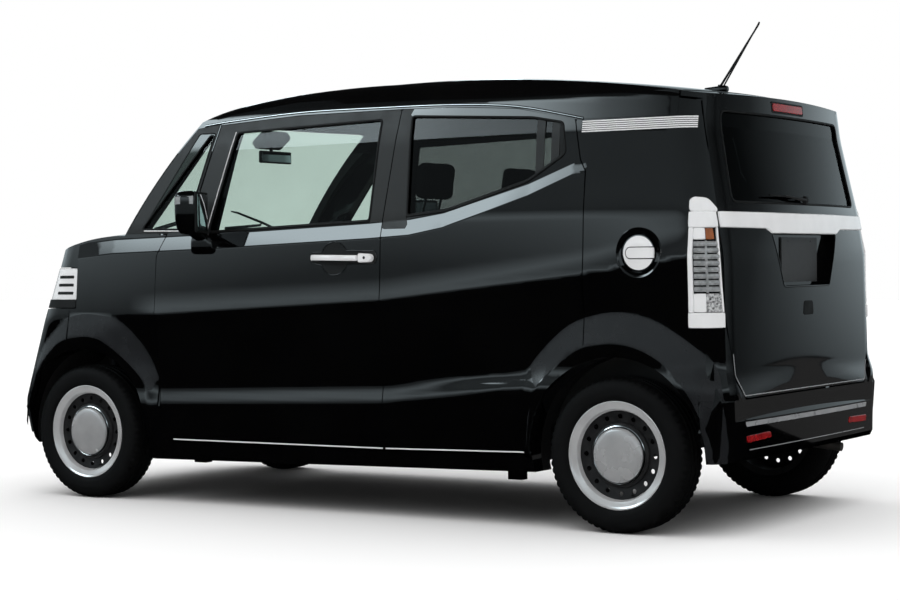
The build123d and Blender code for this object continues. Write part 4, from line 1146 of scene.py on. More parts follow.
skin("fuel_lid_groove", "fuel_flap", lid_plane, grip_outline(3), [SEAL], lift=0.6, hem=1, both=False)
skin("fuel_lid_grip", "fuel_flap", lid_plane, grip_outline(-3), [BRIGHT], lift=5, bevel=3, hem=6, both=False)


def block_outline(at_end, start, y, z_low, z_high, share, gap=(0, 0)):
    """Outline between two heights, over a share of the way from start round a corner to y."""
    low, high = at_end(y, z_low), at_end(y, z_high)
    (low_a, high_a), (low_b, high_b) = ([start + (end - start) * part + room for end in (low, high)]
                                        for part, room in zip(share, gap))
    return [(low_a, z_low), (high_a, z_high), (high_b, z_high), (low_b, z_low)]


# Tail lamps: a bright frame with ribs between an amber block and a clear foot. Each block is given by its
# heights, material, share of the way round the corner, how far it stands out and its bevel
LAMP_X, LAMP_IN_Y = -1550, 662
LAMP_BLOCKS = {
    "lamp_band": (1085, 1133, BRIGHT, (0, 1), 9, 4, "chrome"),
    "lamp_foot": (737, 782, BRIGHT, (0, 1), 8, 4, "chrome"),
    "lamp_frame": (788, 1080, BRIGHT, (0.0, 0.14), 6, 2.5, "chrome"),
    "lamp_inner_frame": (788, 1080, BRIGHT, (0.94, 1.0), 5, 2.5, "lamp_glass"),
    "lamp_reverse": (1042, 1078, BRIGHT, (0.15, 0.52), 5, 2.5, "lamp_glass"),
    "lamp_amber": (1042, 1076, AMBER_LENS, (0.54, 0.80), 5, 2.5, "lamp_glass"),
    "lamp_column": (856, 1034, LENS_BODY, (0.50, 0.56), 5.5, 2.5, "lamp_glass"),
    "lamp_low_block": (790, 850, BRIGHT, (0.15, 0.48), 4.5, 2.5, "lamp_glass"),
    "lamp_prism": (790, 850, CRYSTAL, (0.49, 0.93), 4.5, 2.5, "lamp_glass"),
}
for name, (z_low, z_high, material, share, lift, bevel, slot) in LAMP_BLOCKS.items():
    skin(name, "body", SIDE, block_outline(at_tail, LAMP_X, LAMP_IN_Y, z_low, z_high, share, (-1, 2)),
         [material], lift=lift - PROUD, bevel=bevel, hem=lift + 3, step=12)
LAMP_RIBS = 8
RIB_LOW, RIB_HIGH = 856, 1036
pitch = (RIB_HIGH - RIB_LOW) / LAMP_RIBS
for row in range(LAMP_RIBS):
    z = RIB_LOW + (row + 0.5) * pitch
    end = at_tail(LAMP_IN_Y, z)
    strip(f"lamp_rib_{row + 1}", "body", SIDE, [(LAMP_X + (end - LAMP_X) * t, z) for t in (0.16, 0.86)],
          [(a, h - PROUD) for a, h in half_round(pitch * 0.8, 6)], LENS_BODY, step=8)
KNOB = ((2, 1138), (2, 1176), (14, 1184), (60, 1180), (104, 1138))
knob = rounded([(LAMP_X - back, z) for back, z in KNOB], 16)
skin("lamp_knob", "body", SIDE, knob, [BRIGHT], lift=5, bevel=5, hem=8)

# Tail: bright band, wiper, handle, stop lamp, reflectors and ledge


def gate_skin(name, outline, material, lift, bevel):
    """A piece over the tail, riding on the tailgate."""
    skin(name, "tailgate_door", REAR, outline, [material], lift=lift, bevel=bevel, hem=lift + 2, both=False)


band = [(650, 1085), (650, 1133), (-650, 1133), (-650, 1085), (-345, 1083), (-300, 1066), (300, 1066),
        (345, 1083)]
gate_skin("tail_band", band, BRIGHT, 6, 4)
gate_skin("tail_handle", rounded([(46, 764), (38, 812), (-38, 812), (-46, 764)], 10), SEAL, 2, 2)
gate_skin("stop_lamp", rounded([(134, 1516), (134, 1542), (-134, 1542), (-134, 1516)], 8), RED_LENS, 3, 2)
gate_skin("stop_lamp_frame", rounded([(146, 1508), (146, 1549), (-146, 1549), (-146, 1508)], 10), SEAL, 1, 1)
strip("back_window_seal", "tailgate_door", REAR, window_outline, half_round(9, 2.5), SEAL, both=False,
      closed=True)
strip("board_recess_edge", "tailgate_door", REAR, recess_outline, half_round(6, 2), PAINT, both=False,
      closed=True)
pivot, tip = spot(REAR, 0, 1186), spot(REAR, 250, 1196)
tube("rear_wiper_pivot", "tailgate_door", [pivot + (-3, 0, 0), pivot + (-15, 0, 0)], [17, 14], SEAL, sides=20)
tube("rear_wiper_arm", "tailgate_door", [pivot + (-10, 0, 0), pivot + (-15, 60, 4), tip + (-13, -70, 4)],
     [7, 6, 4], DARK_PLASTIC)
tube("rear_wiper_blade", "tailgate_door", [tip + (-9, -200, 0), tip + (-10, -60, 2), tip + (-9, 60, 4)],
     [3, 5, 3], SEAL)

# Rear bumper: the slope above its ledge, bright edges and reflectors
LEDGE_Z, LEDGE_HALF, BUMPER_FACE = 406.5, 560, -1697.5
BUMPER_HALF, BUMPER_CROWN = 635, 12
LEDGE_ROWS, LEDGE_SLOPE = 41, 1.2


def bumper_plane(y, z):
    """Points and normals on the rear bumper's lower face."""
    x = BUMPER_FACE + BUMPER_CROWN * (y / BUMPER_HALF) ** 2
    return np.stack([x, y, z], 1), np.tile([-1.0, 0.0, 0.0], (len(y), 1))


ledge = []
for y in np.linspace(LEDGE_HALF, -LEDGE_HALF, LEDGE_ROWS):
    outer_x = spot(bumper_plane, y, LEDGE_Z)[0] + 0.6
    depth = max(STEP_FACE - 0.5 - outer_x, 1.0)
    top = LEDGE_Z + depth * LEDGE_SLOPE
    ledge += [(outer_x, y, LEDGE_Z), (STEP_FACE - 0.5, y, top), (STEP_FACE + 3, y, top),
              (STEP_FACE + 3, y, LEDGE_Z - 2)]
placed("bumper_ledge", "body", ledge, bar_faces(LEDGE_ROWS, 4), [PAINT], both=False)
EDGES = {"bumper_bright_edge": rounded([(562, 384), (570, 401), (-570, 401), (-562, 384)], 5),
         "bumper_low_edge": [(540, 300), (540, 303), (-540, 303), (-540, 300)]}
for name, outline in EDGES.items():
    skin(name, "body", bumper_plane, outline, [LEDGE], lift=0.1, hem=0.1, both=False)
LOW_EDGE = [(622, 640), (612, 566), (562, 492), (-562, 492), (-612, 566)]
strip("tailgate_low_edge", "tailgate_door", REAR, LOW_EDGE, half_round(4, 1.6), LEDGE, both=False)
skin("rear_reflector", "body", bumper_plane, rounded([(556, 328), (564, 350), (376, 354), (366, 334)], 9),
     [RED_LENS], lift=2.5, bevel=1.5, hem=5)

# Door mirrors: a shell on a neck and foot, with the glass, its bezel and the signal strip
MIRROR_SIZE, MIRROR_AT, MIRROR_TURN, MIRROR_EDGE = (98, 158, 174), (598, 822, 1180), 23, 25
MIRROR_HALF = tuple(size / 2 for size in MIRROR_SIZE)
MIRROR_NARROW, MIRROR_FLAT = 0.10, 0.06
SIGNAL_Z = (1212, 1248)
FOOT_SIZE = (108, 60, 84)
mirror_turn = turn_about("Z", MIRROR_TURN)


def mirror_shape(points):
    """The shell's bulge: fuller in front, drawn in a little towards its foot."""
    low = np.clip(-points[:, 2] / MIRROR_HALF[2], 0, 1) ** 2
    ahead = np.clip(points[:, 0] / MIRROR_HALF[0], 0, 1) ** 2
    return np.stack([points[:, 0] * (1 - 0.16 * low) - 4 * low,
                     points[:, 1] * (1 - 0.10 * low) * (1 - MIRROR_NARROW * ahead),
                     points[:, 2] * (1 - MIRROR_FLAT * ahead)], 1)


def foot_shape(points):
    """The foot drawn in towards its top."""
    high = np.clip(points[:, 2:] / (FOOT_SIZE[2] / 2), 0, 1) ** 2
    return points * (1 - 0.25 * high * (1, 0.3, 0))


def mirror_place(x, y, z):
    """A place given in the mirror's own turned frame."""
    return tuple(mirror_turn @ np.array((x, y, z), float) + MIRROR_AT)


shells = pad("mirror_shell", FRONT_DOORS, MIRROR_AT, MIRROR_SIZE, MIRROR_EDGE, PAINT, mirror_turn,
             mirror_shape, both=True, cells=6, slot="gloss_black_paint")
for shell, side in zip(shells, ("left", "right")):
    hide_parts(f"mirror_{side}")
pad("mirror_foot", FRONT_DOORS, (604, 734, 1058), FOOT_SIZE, 20, PAINT, shape=foot_shape, both=True,
    slot="gloss_black_paint")
pad("mirror_neck", FRONT_DOORS, (602, 776, 1094), (52, 92, 34), 15, PAINT, turn_about("X", 24), both=True,
    cells=3, slot="gloss_black_paint")
pad("mirror_bezel", FRONT_DOORS, mirror_place(-44, 0, 2), (12, 150, 162), 5.5, SEAL, mirror_turn, both=True)
pad("mirror_glass", FRONT_DOORS, mirror_place(-48.2, 0, 2), (4, 136, 146), 1.9, MIRROR, mirror_turn,
    both=True, slot="chrome")


def signal_strip():
    """The signal strip round the mirror's outer end, following the shell's corners."""
    depth, width, _ = MIRROR_HALF
    bend = [on_circle(depth - MIRROR_EDGE, width - MIRROR_EDGE, MIRROR_EDGE, a) for a in range(90, -1, -15)]
    line = [(-depth + 14, width)] + bend + [(depth, width - 70)]
    low, high = (z - MIRROR_AT[2] for z in SIGNAL_Z)
    points = []
    for x, y in line:
        out = np.array((x, y, 0.0)) - (0, width - 60, 0)
        out /= np.linalg.norm(out)
        ahead = min(max(x / depth, 0), 1) ** 2
        for z, proud in ((low, -4), (low + 3, 0.6), (high - 3, 0.6), (high, -4)):
            place = np.array((x, y * (1 - MIRROR_NARROW * ahead), z * (1 - MIRROR_FLAT * ahead)))
            points.append(mirror_place(*(place + out * proud)))
    faces = [(i + k, i + k + 1, i + k + 5, i + k + 4) for i in range(0, len(points) - 4, 4) for k in range(3)]
    return points, faces


points, faces = signal_strip()
placed("signal_strip", FRONT_DOORS, points, faces, [LENS_BODY])

# Tyres: rounded sidewalls with a bead rib, three grooves and notched shoulders. Profiles are (distance out,
# height from the crown)
TYRE_RADIUS, NOTCHES, NOTCH_DEPTH = 278.1, 64, 5
VALVE_RADIUS, VALVE_ANGLE, VALVE_OUT = 150, 250, (36, 58)
tread = [(groove + out, height) for groove in (30, 0, -30)
         for out, height in ((6, 0.4), (4.5, -6.5), (-4.5, -6.5), (-6, 0.4))]
FLANK = [(52, -0.6), (60, -3.6), (66, -8), (71, -15), (75, -26), (77, -40), (77.3, -52), (76.6, -56),
         (76.8, -60), (75, -70), (71.5, -80), (66, -86), (60, -92), (57, -99.4)]
whole_run = FLANK[::-1] + tread + [(-out, height) for out, height in FLANK]
TYRE_PROFILE = [(TYRE_RADIUS + height, out) for out, height in whole_run]


def notch(turn, radius, out):
    """How much a notch takes off the tyre's shoulder: every third row is cut."""
    return NOTCH_DEPTH if turn % 3 == 0 and 38 < abs(out) < 70 and radius > 262 else 0


for end, axle_x in AXLES.items():
    for hand, side in (("left", 1), ("right", -1)):
        corner, body = f"{end}_{hand}", f"road_wheel_{end}_{hand}"
        made = lathe(f"tyre_tread_{corner}", TYRE_PROFILE, (axle_x, side * TRACK_HALF, AXLE_Z), side, body,
                     RUBBER, NOTCHES * 3, notch)
        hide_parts(f"tyre_{corner}")
        x, z = on_circle(axle_x, AXLE_Z, VALVE_RADIUS, VALVE_ANGLE)
        tube(f"valve_{corner}", body, [(x, side * (TRACK_HALF + out), z) for out in VALVE_OUT], [4, 3], SEAL)


# Headlamps: a bright bowl behind a clear cover, with bars on the side and a dark foot. Each block is given by
# its heights, material, share of the way round the corner, how far it stands out, its bevel, slot and corners
HEAD_X, HEAD_Y, HEAD_LOW, HEAD_HIGH = 1308, 404, 800, 964
HEAD_BLOCKS = {"headlamp_bowl": (HEAD_LOW + 34, HEAD_HIGH, BRIGHT, (0, 1), -2, 2, "lamp_glass", 6),
               "headlamp_foot": (HEAD_LOW, HEAD_LOW + 32, SEAL, (0, 1), 2, 2, "black_plastic", 6)}
for row in range(3):
    bar_low = HEAD_LOW + 56 + row * 34
    HEAD_BLOCKS[f"headlamp_bar_{row + 1}"] = (bar_low, bar_low + 10, SEAL, (0.04, 0.24), 0, 1,
                                              "black_plastic", 2)
for name, (z_low, z_high, material, share, lift, bevel, slot, corner) in HEAD_BLOCKS.items():
    outline = rounded(block_outline(at_nose, HEAD_X, HEAD_Y, z_low, z_high, share), corner)
    skin(name, "body", SIDE, outline, [material], lift=lift - PROUD, bevel=bevel, hem=lift + 2, step=12)

# Front quarter windows: the glass's dark edge and the pillar outside it
QUARTER_GLASS = [(945, 1122), (716, 1114), (602, 1503), (684, 1505)]
skin("quarter_glass_edge", "body", SIDE, rounded(QUARTER_GLASS, 12), [GLASS_EDGE],
     holes=[rounded(grown(QUARTER_WINDOW, -1), 10)], lift=0.4, hem=2, step=12)
SCREEN_SPAN = (690.0, 1250.0)


def screen_x(z):
    """Where the windscreen's side edge is at a height."""
    low, high = SCREEN_SPAN
    for _ in range(24):
        middle = (low + high) / 2
        out = side_width(np.array([middle]), np.array([z]))
        low, high = (middle, high) if profile_height(np.array([middle]), out)[0] > z else (low, middle)
    return low


pillar = [(screen_x(z) - 9, z) for z in np.linspace(1104, 1530, 14)]
pillar = [(706, 1103)] + pillar + [(584, 1540)]
skin("front_pillar_skin", "body", SIDE, pillar, [SATIN], holes=[rounded(grown(QUARTER_GLASS, 2), 12)], hem=4,
     step=14)
strip("quarter_glass_seal", "body", SIDE, rounded(grown(QUARTER_GLASS, 2), 12), half_round(6, 2), SEAL,
      closed=True)

# Seats: padded cushions with sewn channels on plain bases
CHANNEL_WIDTH, CHANNEL_DEPTH = 0.045, 7
DRAWN_IN, EDGE_SHARE, BOLSTER_HEIGHT = 6, 0.7, 12


def seat_shape(size, channels, bolsters, crown=10):
    """Shape of a pad with its free side up: crowned, drawn in between its corners, with sewn channels."""
    half = np.array(size, float) / 2

    def shape(points):
        made = points.copy()
        u, v, w = (points / half).T
        made[:, 0] -= np.sign(u) * DRAWN_IN * (1 - v ** 2) * (np.abs(u) > EDGE_SHARE)
        made[:, 1] -= np.sign(v) * DRAWN_IN * (1 - u ** 2) * (np.abs(v) > EDGE_SHARE)
        raised = crown * (1 - u ** 2) * (1 - v ** 2)
        for at in channels:
            raised -= CHANNEL_DEPTH * np.exp(-((u - at) / CHANNEL_WIDTH) ** 2) * (np.abs(v) < bolsters)
        if bolsters < 1:
            raised += BOLSTER_HEIGHT * np.clip((np.abs(v) - bolsters) / (1 - bolsters), 0, 1)
            raised -= CHANNEL_DEPTH * np.exp(-((np.abs(v) - bolsters) / CHANNEL_WIDTH) ** 2)
        made[:, 2] += np.clip(w, 0, 1) * raised
        return made
    return shape


# The pads' cloth run: cells and swelling in metres, pressure, frames and the share of triangles kept
VOXEL, SWELL, PRESSURE, SIM_FRAMES, KEPT_SHARE = 0.006, 0.014, 4, 20, 0.06


def modified(piece):
    """The mesh that a piece's modifiers make, which becomes its own."""
    made = bpy.data.meshes.new_from_object(piece.evaluated_get(bpy.context.evaluated_depsgraph_get()))
    piece.modifiers.clear()
    piece.data = made
    return made


def swollen(piece):
    """A pad after a short cloth run that fills it, with what each point may move capped."""
    piece.modifiers.new("even", "REMESH").voxel_size = VOXEL
    rest = np.array([v.co[:] for v in modified(piece).vertices])
    cloth = piece.modifiers.new("fill", "CLOTH")
    cloth.settings.use_pressure = True
    cloth.settings.uniform_pressure_force = PRESSURE
    cloth.settings.quality = 3
    cloth.settings.effector_weights.gravity = 0
    for step in range(1, SIM_FRAMES + 1):
        scene.frame_set(step)
    filled = modified(piece)
    scene.frame_set(1)
    moved = np.array([v.co[:] for v in filled.vertices]) - rest
    far = np.linalg.norm(moved, axis=1)
    moved *= np.minimum(1, SWELL / np.maximum(far, 1e-9))[:, None]
    filled.vertices.foreach_set("co", (rest + moved).ravel())
    filled.update()
    piece.modifiers.new("thin", "DECIMATE").ratio = KEPT_SHARE
    smooth = piece.modifiers.new("smooth", "SUBSURF")
    smooth.levels = smooth.render_levels = 1
    done = modified(piece)
    done.materials.clear()
    done.materials.append(FABRIC)
    done.polygons.foreach_set("use_smooth", [True] * len(done.polygons))


def seat_pad(name, centre, size, radius, lean, channels=(), bolsters=2.0, nodes=()):
    """A padded seat piece on the left and its twin on the right."""
    points, faces = box_points(size, radius, 20)
    points = seat_shape(size, channels, bolsters)(points)
    points = points @ turn_about("Y", lean).T + np.array(centre, float)
    left = made_object(f"{name}_left", points, faces, [FABRIC], "body")
    swollen(left)
    twin = left.data.copy()
    places = np.array([v.co[:] for v in twin.vertices]) * (1, -1, 1)
    twin.vertices.foreach_set("co", places.ravel())
    twin.flip_normals()
    right = bpy.data.objects.new(f"{name}_right", twin)
    scene.collection.objects.link(right)
    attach(right, "body")
    for piece, node in zip((left, right), nodes):
        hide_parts(node)


SEAT_Y, BENCH_Y, REST_Y = 325, 272, 290
seat_pad("front_cushion", (178, SEAT_Y, 520), (520, 470, 118), 42, -3.5, (-0.5, -0.1, 0.3), 0.66,
         ("seat_front_left", "seat_front_right"))
seat_pad("front_backrest", (-148, SEAT_Y, 862), (570, 460, 92), 36, 79.1, (-0.45, -0.1, 0.25, 0.6), 0.66)
seat_pad("front_headrest", (-246, SEAT_Y, 1294), (150, 212, 78), 32, 82)
seat_pad("rear_cushion", (-712, BENCH_Y, 525), (540, 520, 112), 38, -3, (-0.4, 0.0, 0.4), 0.8, ("seat_rear",))
seat_pad("rear_backrest", (-1065, BENCH_Y, 852), (540, 520, 84), 34, 77.1, (-0.4, 0.0, 0.4), 0.8)
seat_pad("rear_headrest", (-1204, REST_Y, 1240), (122, 206, 72), 30, 80)
for label, offset in (("inner", -55), ("outer", 55)):
    for row, y, (low_x, low_z), (high_x, high_z) in (("front", SEAT_Y, (-205, 1120), (-242, 1250)),
                                                     ("rear", REST_Y, (-1140, 1090), (-1196, 1200))):
        tube(f"{row}_headrest_post_{label}", "body",
             [(low_x, y + offset, low_z), (high_x, y + offset, high_z)], 6, CHROME, both=True)
pad("front_seat_base", "body", (175, SEAT_Y, 447), (480, 430, 54), 12, TRIM, both=True)
pad("front_seat_side_cover", "body", (60, SEAT_Y + 236, 480), (380, 14, 90), 6, TRIM, both=True)
pad("rear_seat_base", "body", (-712, 0, 458), (520, 1050, 36), 12, TRIM)

# Cabin: roof lining, dash top, instrument hood, steering wheel and mirror
lining = [(620, 520), (640, 300), (650, 0), (640, -300), (620, -520), (-1450, -560), (-1450, 560)]
skin("roof_lining", "body", ROOF, lining, [LINING], both=False, lift=-34, hem=2, step=60)
WHEEL_AT, WHEEL_LEAN, WHEEL_RADIUS = (600, -340, 965), 27, 170
hood_turn, wheel_turn = turn_about("Y", 8), turn_about("Y", WHEEL_LEAN)
pad("instrument_hood", "body", (800, WHEEL_AT[1], 1076), (150, 330, 66), 26, TRIM, hood_turn)
pad("instrument_face", "body", (742, WHEEL_AT[1], 1072), (30, 270, 46), 10, SEAL, hood_turn)
pad("dash_centre", "body", (776, 0, 950), (40, 230, 190), 12, DARK_PLASTIC, turn_about("Y", -4))
pad("dash_screen", "body", (754, 0, 990), (8, 176, 96), 3, PAINT, turn_about("Y", -4))
for label, y in (("outer", 520), ("inner", 170)):
    pad(f"air_vent_{label}", "body", (770, y, 1012), (34, 120, 44), 12, DARK_PLASTIC, both=True)
pad("glove_box", "body", (772, 350, 900), (34, 330, 130), 12, TRIM)


def on_wheel(x, y, z):
    """A place given in the steering wheel's own frame: x along its column, z up its face."""
    return tuple(wheel_turn @ np.array((x, y, z), float) + WHEEL_AT)


rim = [on_wheel(0, y, z) for y, z in round_points(0, 0, WHEEL_RADIUS, 60)]
ring = tube("steering_rim", "steering", rim, 14, LEATHER, closed=True, sides=14)
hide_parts("steering_wheel")
pad("steering_hub", "steering", on_wheel(6, 0, -8), (46, 130, 112), 20, DARK_PLASTIC, wheel_turn)
for label, (y, z) in {"left": (1, 0.06), "right": (-1, 0.06), "low": (0, -1)}.items():
    spoke_end = WHEEL_RADIUS - 6
    tube(f"steering_spoke_{label}", "steering", [on_wheel(6, y * 50, z * 50 - 8),
                                                 on_wheel(2, y * spoke_end, z * spoke_end)], [17, 12], TRIM)
tube("steering_column", "body", [on_wheel(30, 0, 0), on_wheel(210, 0, 0)], [42, 52], TRIM, sides=20)
mirror_pad = pad("cabin_mirror", "body", (803, 0, 1441), (17, 220, 54), 8, DARK_PLASTIC)
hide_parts("inside_mirror")
pad("cabin_mirror_glass", "body", (794.6, 0, 1441), (2, 206, 42), 0.9, MIRROR, slot="chrome")
tube("cabin_mirror_arm", "body", [(812, 0, 1446), (828, 0, 1480), (818, 0, 1530)], [8, 7, 12], DARK_PLASTIC)
pad("sensor_cover", "body", (822, 0, 1516), (90, 180, 46), 16, TRIM, turn_about("Y", 38))

# Antenna: a rubber-coated rod on a long low foot
ANTENNA_FOOT_X, ANTENNA_TIP_X, ANTENNA_TIP_Z = -1330, -1499, 1859


def roof_height(x, y):
    """Height of the roof and windscreen at one place."""
    return float(profile_height(np.array([float(x)]), np.array([float(y)]))[0])


def between(start, end, share):
    """The place at a share of the way between two places."""
    return tuple(a + (b - a) * share for a, b in zip(start, end))


foot_z = roof_height(ANTENNA_FOOT_X, 0) + 14
pad("antenna_foot", "body", (ANTENNA_FOOT_X + 12, 0, foot_z - 5), (96, 40, 26), 11, PAINT, turn_about("Y", 4),
    slot="gloss_black_paint")
rod = [between((ANTENNA_FOOT_X, 0, foot_z), (ANTENNA_TIP_X, 0, ANTENNA_TIP_Z), t)
       for t in (0, 0.04, 0.06, 0.3, 0.96, 1)]
tube("antenna_rod", "body", rod, [8, 7, 4.6, 4.2, 3.4, 2.4], DARK_PLASTIC, sides=12)

# Front: wipers on the windscreen, fog lamps, and rings round the lamps' bowls
SCREEN_LEAN = 0.7


def on_screen(place, proud):
    """A place (x, y) on the windscreen, standing off it."""
    x, y = place
    return (x + SCREEN_LEAN * proud, y, roof_height(x, y) + SCREEN_LEAN * proud)


# Each wiper by its pivot, its elbow and the blade's two ends, as (x, y)
WIPERS = {"driver": ((1196, -150), (1150, -350), (1140, -570), (1136, -110)),
          "passenger": ((1198, 330), (1170, 150), (1176, -60), (1160, 400))}
for label, (pivot, elbow, blade_low, blade_high) in WIPERS.items():
    arm = [on_screen(pivot, 16), on_screen(elbow, 20), on_screen(between(blade_low, blade_high, 0.5), 13)]
    tube(f"wiper_arm_{label}", "body", arm, [9, 6, 4], DARK_PLASTIC)
    blade = [on_screen(between(blade_low, blade_high, t), 7) for t in (0, 0.1, 0.5, 0.9, 1)]
    tube(f"wiper_blade_{label}", "body", blade, [3, 5, 6, 5, 3], SEAL)
FOG_Y, FOG_Z, FOG_RADIUS = 548, 372, 40
fog_s = at_nose(FOG_Y, FOG_Z)
skin("fog_lamp_bezel", "body", SIDE, round_points(fog_s, FOG_Z, FOG_RADIUS), [SEAL], lift=0.6, bevel=2, hem=4,
     holes=[round_points(fog_s, FOG_Z, FOG_RADIUS - 9)])
skin("fog_lamp", "body", SIDE, round_points(fog_s, FOG_Z, FOG_RADIUS - 10), [LENS_BODY], lift=-0.4, bevel=1,
     hem=2)
BEAM_Z, BEAM_RADIUS = 896, 44
for name, centre_y in (("low", 560), ("high", 470)):
    at_s = at_nose(centre_y, BEAM_Z)
    skin(f"headlamp_{name}_beam_rim", "body", SIDE, round_points(at_s, BEAM_Z, BEAM_RADIUS), [CHROME],
         lift=-PROUD - 1, bevel=1, hem=2, holes=[round_points(at_s, BEAM_Z, BEAM_RADIUS - 8)])
    skin(f"headlamp_{name}_beam", "body", SIDE, round_points(at_s, BEAM_Z, BEAM_RADIUS - 9), [CRYSTAL],
         lift=-PROUD - 1.6, hem=1)


# Studio
yaw, pitch, roll = (math.radians(v) for v in (CAMERA_YAW, CAMERA_PITCH, CAMERA_ROLL))
look = Vector((math.cos(pitch) * math.cos(yaw), math.cos(pitch) * math.sin(yaw), math.sin(pitch)))
level_right = look.cross(Vector((0, 0, 1))).normalized()
level_up = level_right.cross(look)
right = level_right * math.cos(roll) + level_up * math.sin(roll)
up = level_up * math.cos(roll) - level_right * math.sin(roll)
camera = bpy.data.objects.new("camera", bpy.data.cameras.new("camera"))
scene.collection.objects.link(camera)
camera.matrix_world = Matrix.Translation(CAMERA_AT) @ Matrix((right, up, -look)).transposed().to_4x4()
camera.data.sensor_width = 36
camera.data.lens = CAMERA_FOCAL / PICTURE[0] * 36
camera.data.shift_y = (CENTRE_LINE - PICTURE[1] / 2) / PICTURE[0]
scene.camera = camera


def glow(name, stops, strength, height, sweep=(), tint=(1, 1, 1)):
    """A glossy-only surround whose brightness runs up with height, in metres, and along it by sweep, which is
    (heading in degrees, share) points."""
    made, tree, shader = new_material(name)
    tree.nodes.remove(shader)
    place, split = tree.nodes.new("ShaderNodeNewGeometry"), tree.nodes.new("ShaderNodeSeparateXYZ")
    tree.links.new(place.outputs["Position"], split.inputs["Vector"])
    level = spread(tree, split.outputs["Z"], 0, 1, 0, height)
    light = tree.nodes.new("ShaderNodeEmission")
    light.inputs["Strength"].default_value = strength
    tree.links.new(ramp(tree, level, [(at, tuple(v * c for c in tint)) for at, v in stops]),
                   light.inputs["Color"])
    if sweep:
        first, last = sweep[0][0], sweep[-1][0]
        heading = worked(tree, "ARCTAN2", split.outputs["Y"], split.outputs["X"])
        run = spread(tree, heading, 0, 1, math.radians(first), math.radians(last))
        shares = ramp(tree, run, [((at - first) / (last - first), (v, v, v)) for at, v in sweep])
        tree.links.new(worked(tree, "MULTIPLY", shares, strength), light.inputs["Strength"])
    tree.links.new(light.outputs["Emission"], tree.nodes["Material Output"].inputs["Surface"])
    return made


def reflector(name, points, faces, material):
    """A piece of the studio that only reflections see."""
    mesh = bpy.data.meshes.new(name)
    mesh.from_pydata(points, [], faces)
    mesh.materials.append(material)
    made = bpy.data.objects.new(name, mesh)
    scene.collection.objects.link(made)
    made.visible_camera = False
    made.visible_diffuse = False
    made.visible_transmission = False
    made.visible_shadow = False
    made.visible_volume_scatter = False
    return made


SURROUND = 14
WALL_TINT = (0.80, 0.94, 1.0)
WALL_TOP = 12
WALL_STOPS = [(0.0, 0.0), (0.084, 0.0), (0.092, 0.05), (0.142, 0.07), (0.24, 0.32), (0.33, 0.07),
              (0.42, 0.09), (0.57, 0.08), (0.80, 0.05), (0.88, 0.03), (1.0, 0.02)]


def wall(name, start, end, strength, low=0.0, high=WALL_TOP, radius=SURROUND, stops=WALL_STOPS, sweep=()):
    """A curved stretch of the surround between two headings in degrees."""
    count = max(4, int((end - start) / 5))
    edge = [on_circle(0, 0, radius, start + (end - start) * k / count) for k in range(count + 1)]
    faces = [(k, k + 1, count + 2 + k, count + 1 + k) for k in range(count)]
    reflector(name, [(x, y, low) for x, y in edge] + [(x, y, high) for x, y in edge], faces,
              glow(name, stops, strength, WALL_TOP, sweep, WALL_TINT))


wall("wall_bright", -75, 190, 2.5)
REAR_STOPS = [(0.0, 0.35), (0.10, 0.75), (0.25, 0.9), (0.45, 0.35), (0.8, 0.1), (1.0, 0.05)]
wall("wall_rear", -170, -75, 1.0, stops=REAR_STOPS,
     sweep=[(-170, 0.3), (-136, 0.04), (-128, 0.10), (-118, 0.45), (-98, 0.95), (-75, 0.8)])
SOFTBOX = [(0.0, 0.0), (0.50, 0.0), (0.55, 1.0), (0.74, 1.0), (0.82, 0.0), (1.0, 0.0)]
SOFTBOX_SWEEP = [(18, 0.0), (30, 0.22), (40, 0.90), (54, 1.0), (58, 0.68), (63, 0.50), (67, 0.16), (72, 0.0)]
SOFTBOX_STRENGTH, SOFTBOX_LOW, SOFTBOX_HIGH, SOFTBOX_RADIUS = 5.4, 6.0, 9.9, SURROUND - 0.4
wall("softbox_left", 18, 72, SOFTBOX_STRENGTH, SOFTBOX_LOW, SOFTBOX_HIGH, SOFTBOX_RADIUS, SOFTBOX,
     SOFTBOX_SWEEP)
wall("softbox_right", -72, -18, SOFTBOX_STRENGTH, SOFTBOX_LOW, SOFTBOX_HIGH, SOFTBOX_RADIUS, SOFTBOX,
     [(-heading, share) for heading, share in reversed(SOFTBOX_SWEEP)])
EVEN, NO_GLOW = [(0.0, 1.0), (1.0, 1.0)], [(0.0, 0.0), (1.0, 0.0)]
FLOOR_SIDES, FLOOR_Z, PATCH_Z, PATCH_START = 64, 0.004, 0.005, 2.2
corners = [(-SURROUND, -SURROUND), (SURROUND, -SURROUND), (SURROUND, SURROUND), (-SURROUND, SURROUND)]
reflector("ceiling", [(x, y, WALL_TOP) for x, y in corners], [(0, 1, 2, 3)],
          glow("ceiling_glow", EVEN, 0.01, WALL_TOP))
rim = [(x, y, FLOOR_Z) for x, y in round_points(0, 0, SURROUND, FLOOR_SIDES)]
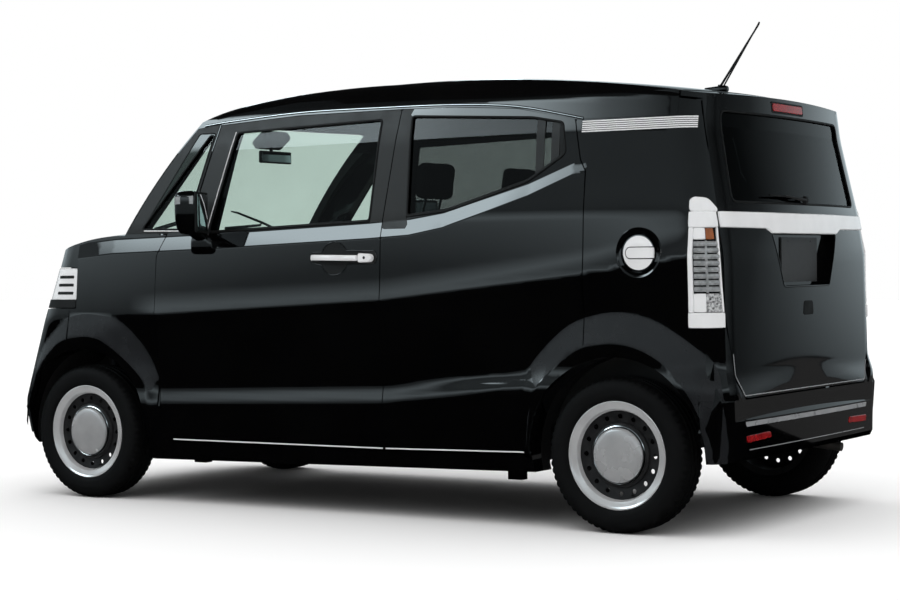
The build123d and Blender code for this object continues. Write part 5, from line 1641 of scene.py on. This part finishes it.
reflector("dark_floor", rim, [tuple(range(FLOOR_SIDES))], glow("floor_glow", NO_GLOW, 1.0, 1.0))
headings = (-135, -105, -75)
patch = [on_circle(0, 0, PATCH_START, t) for t in headings]
patch += [on_circle(0, 0, SURROUND, t) for t in reversed(headings)]
reflector("rear_floor", [(x, y, PATCH_Z) for x, y in patch], [tuple(range(6))],
          glow("rear_floor_glow", EVEN, 0.06, 1.0))

world = bpy.data.worlds.new("studio")
world.use_nodes = True
sky = world.node_tree
background = sky.nodes["Background"]
background.inputs["Color"].default_value = (1, 1, 1, 1)
place, split = sky.nodes.new("ShaderNodeTexCoord"), sky.nodes.new("ShaderNodeSeparateXYZ")
sky.links.new(place.outputs["Generated"], split.inputs["Vector"])
SKY_STOPS = [(0.0, 0.0), (0.14, 0.0), (0.34, 0.25), (0.5, 0.5), (0.77, 1.0), (1.0, 1.0)]
SKY_TOP = 1.65
level = ramp(sky, split.outputs["Z"], [(at, (v, v, v)) for at, v in SKY_STOPS])
ray, choose = sky.nodes.new("ShaderNodeLightPath"), sky.nodes.new("ShaderNodeMix")
sky.links.new(ray.outputs["Is Diffuse Ray"], choose.inputs[0])
choose.inputs[2].default_value = 1.0
sky.links.new(worked(sky, "MULTIPLY", level, SKY_TOP), choose.inputs[3])
sky.links.new(choose.outputs[0], background.inputs["Strength"])
scene.world = world

FLOOR_HALF = 40
floor_mesh = bpy.data.meshes.new("floor")
floor_mesh.from_pydata([(FLOOR_HALF * x, FLOOR_HALF * y, 0) for x, y in ((-1, -1), (1, -1), (1, 1), (-1, 1))],
                       [], [(0, 1, 2, 3)])
floor = bpy.data.objects.new("floor", floor_mesh)
scene.collection.objects.link(floor)
floor_paint, _, floor_shader = new_material("floor")
floor_shader.inputs["Base Color"].default_value = (0.92, 0.92, 0.92, 1)
floor_shader.inputs["Roughness"].default_value = 1.0
floor_shader.inputs["Specular IOR Level"].default_value = 0.0
floor_mesh.materials.append(floor_paint)

scene.view_settings.view_transform = "Standard"
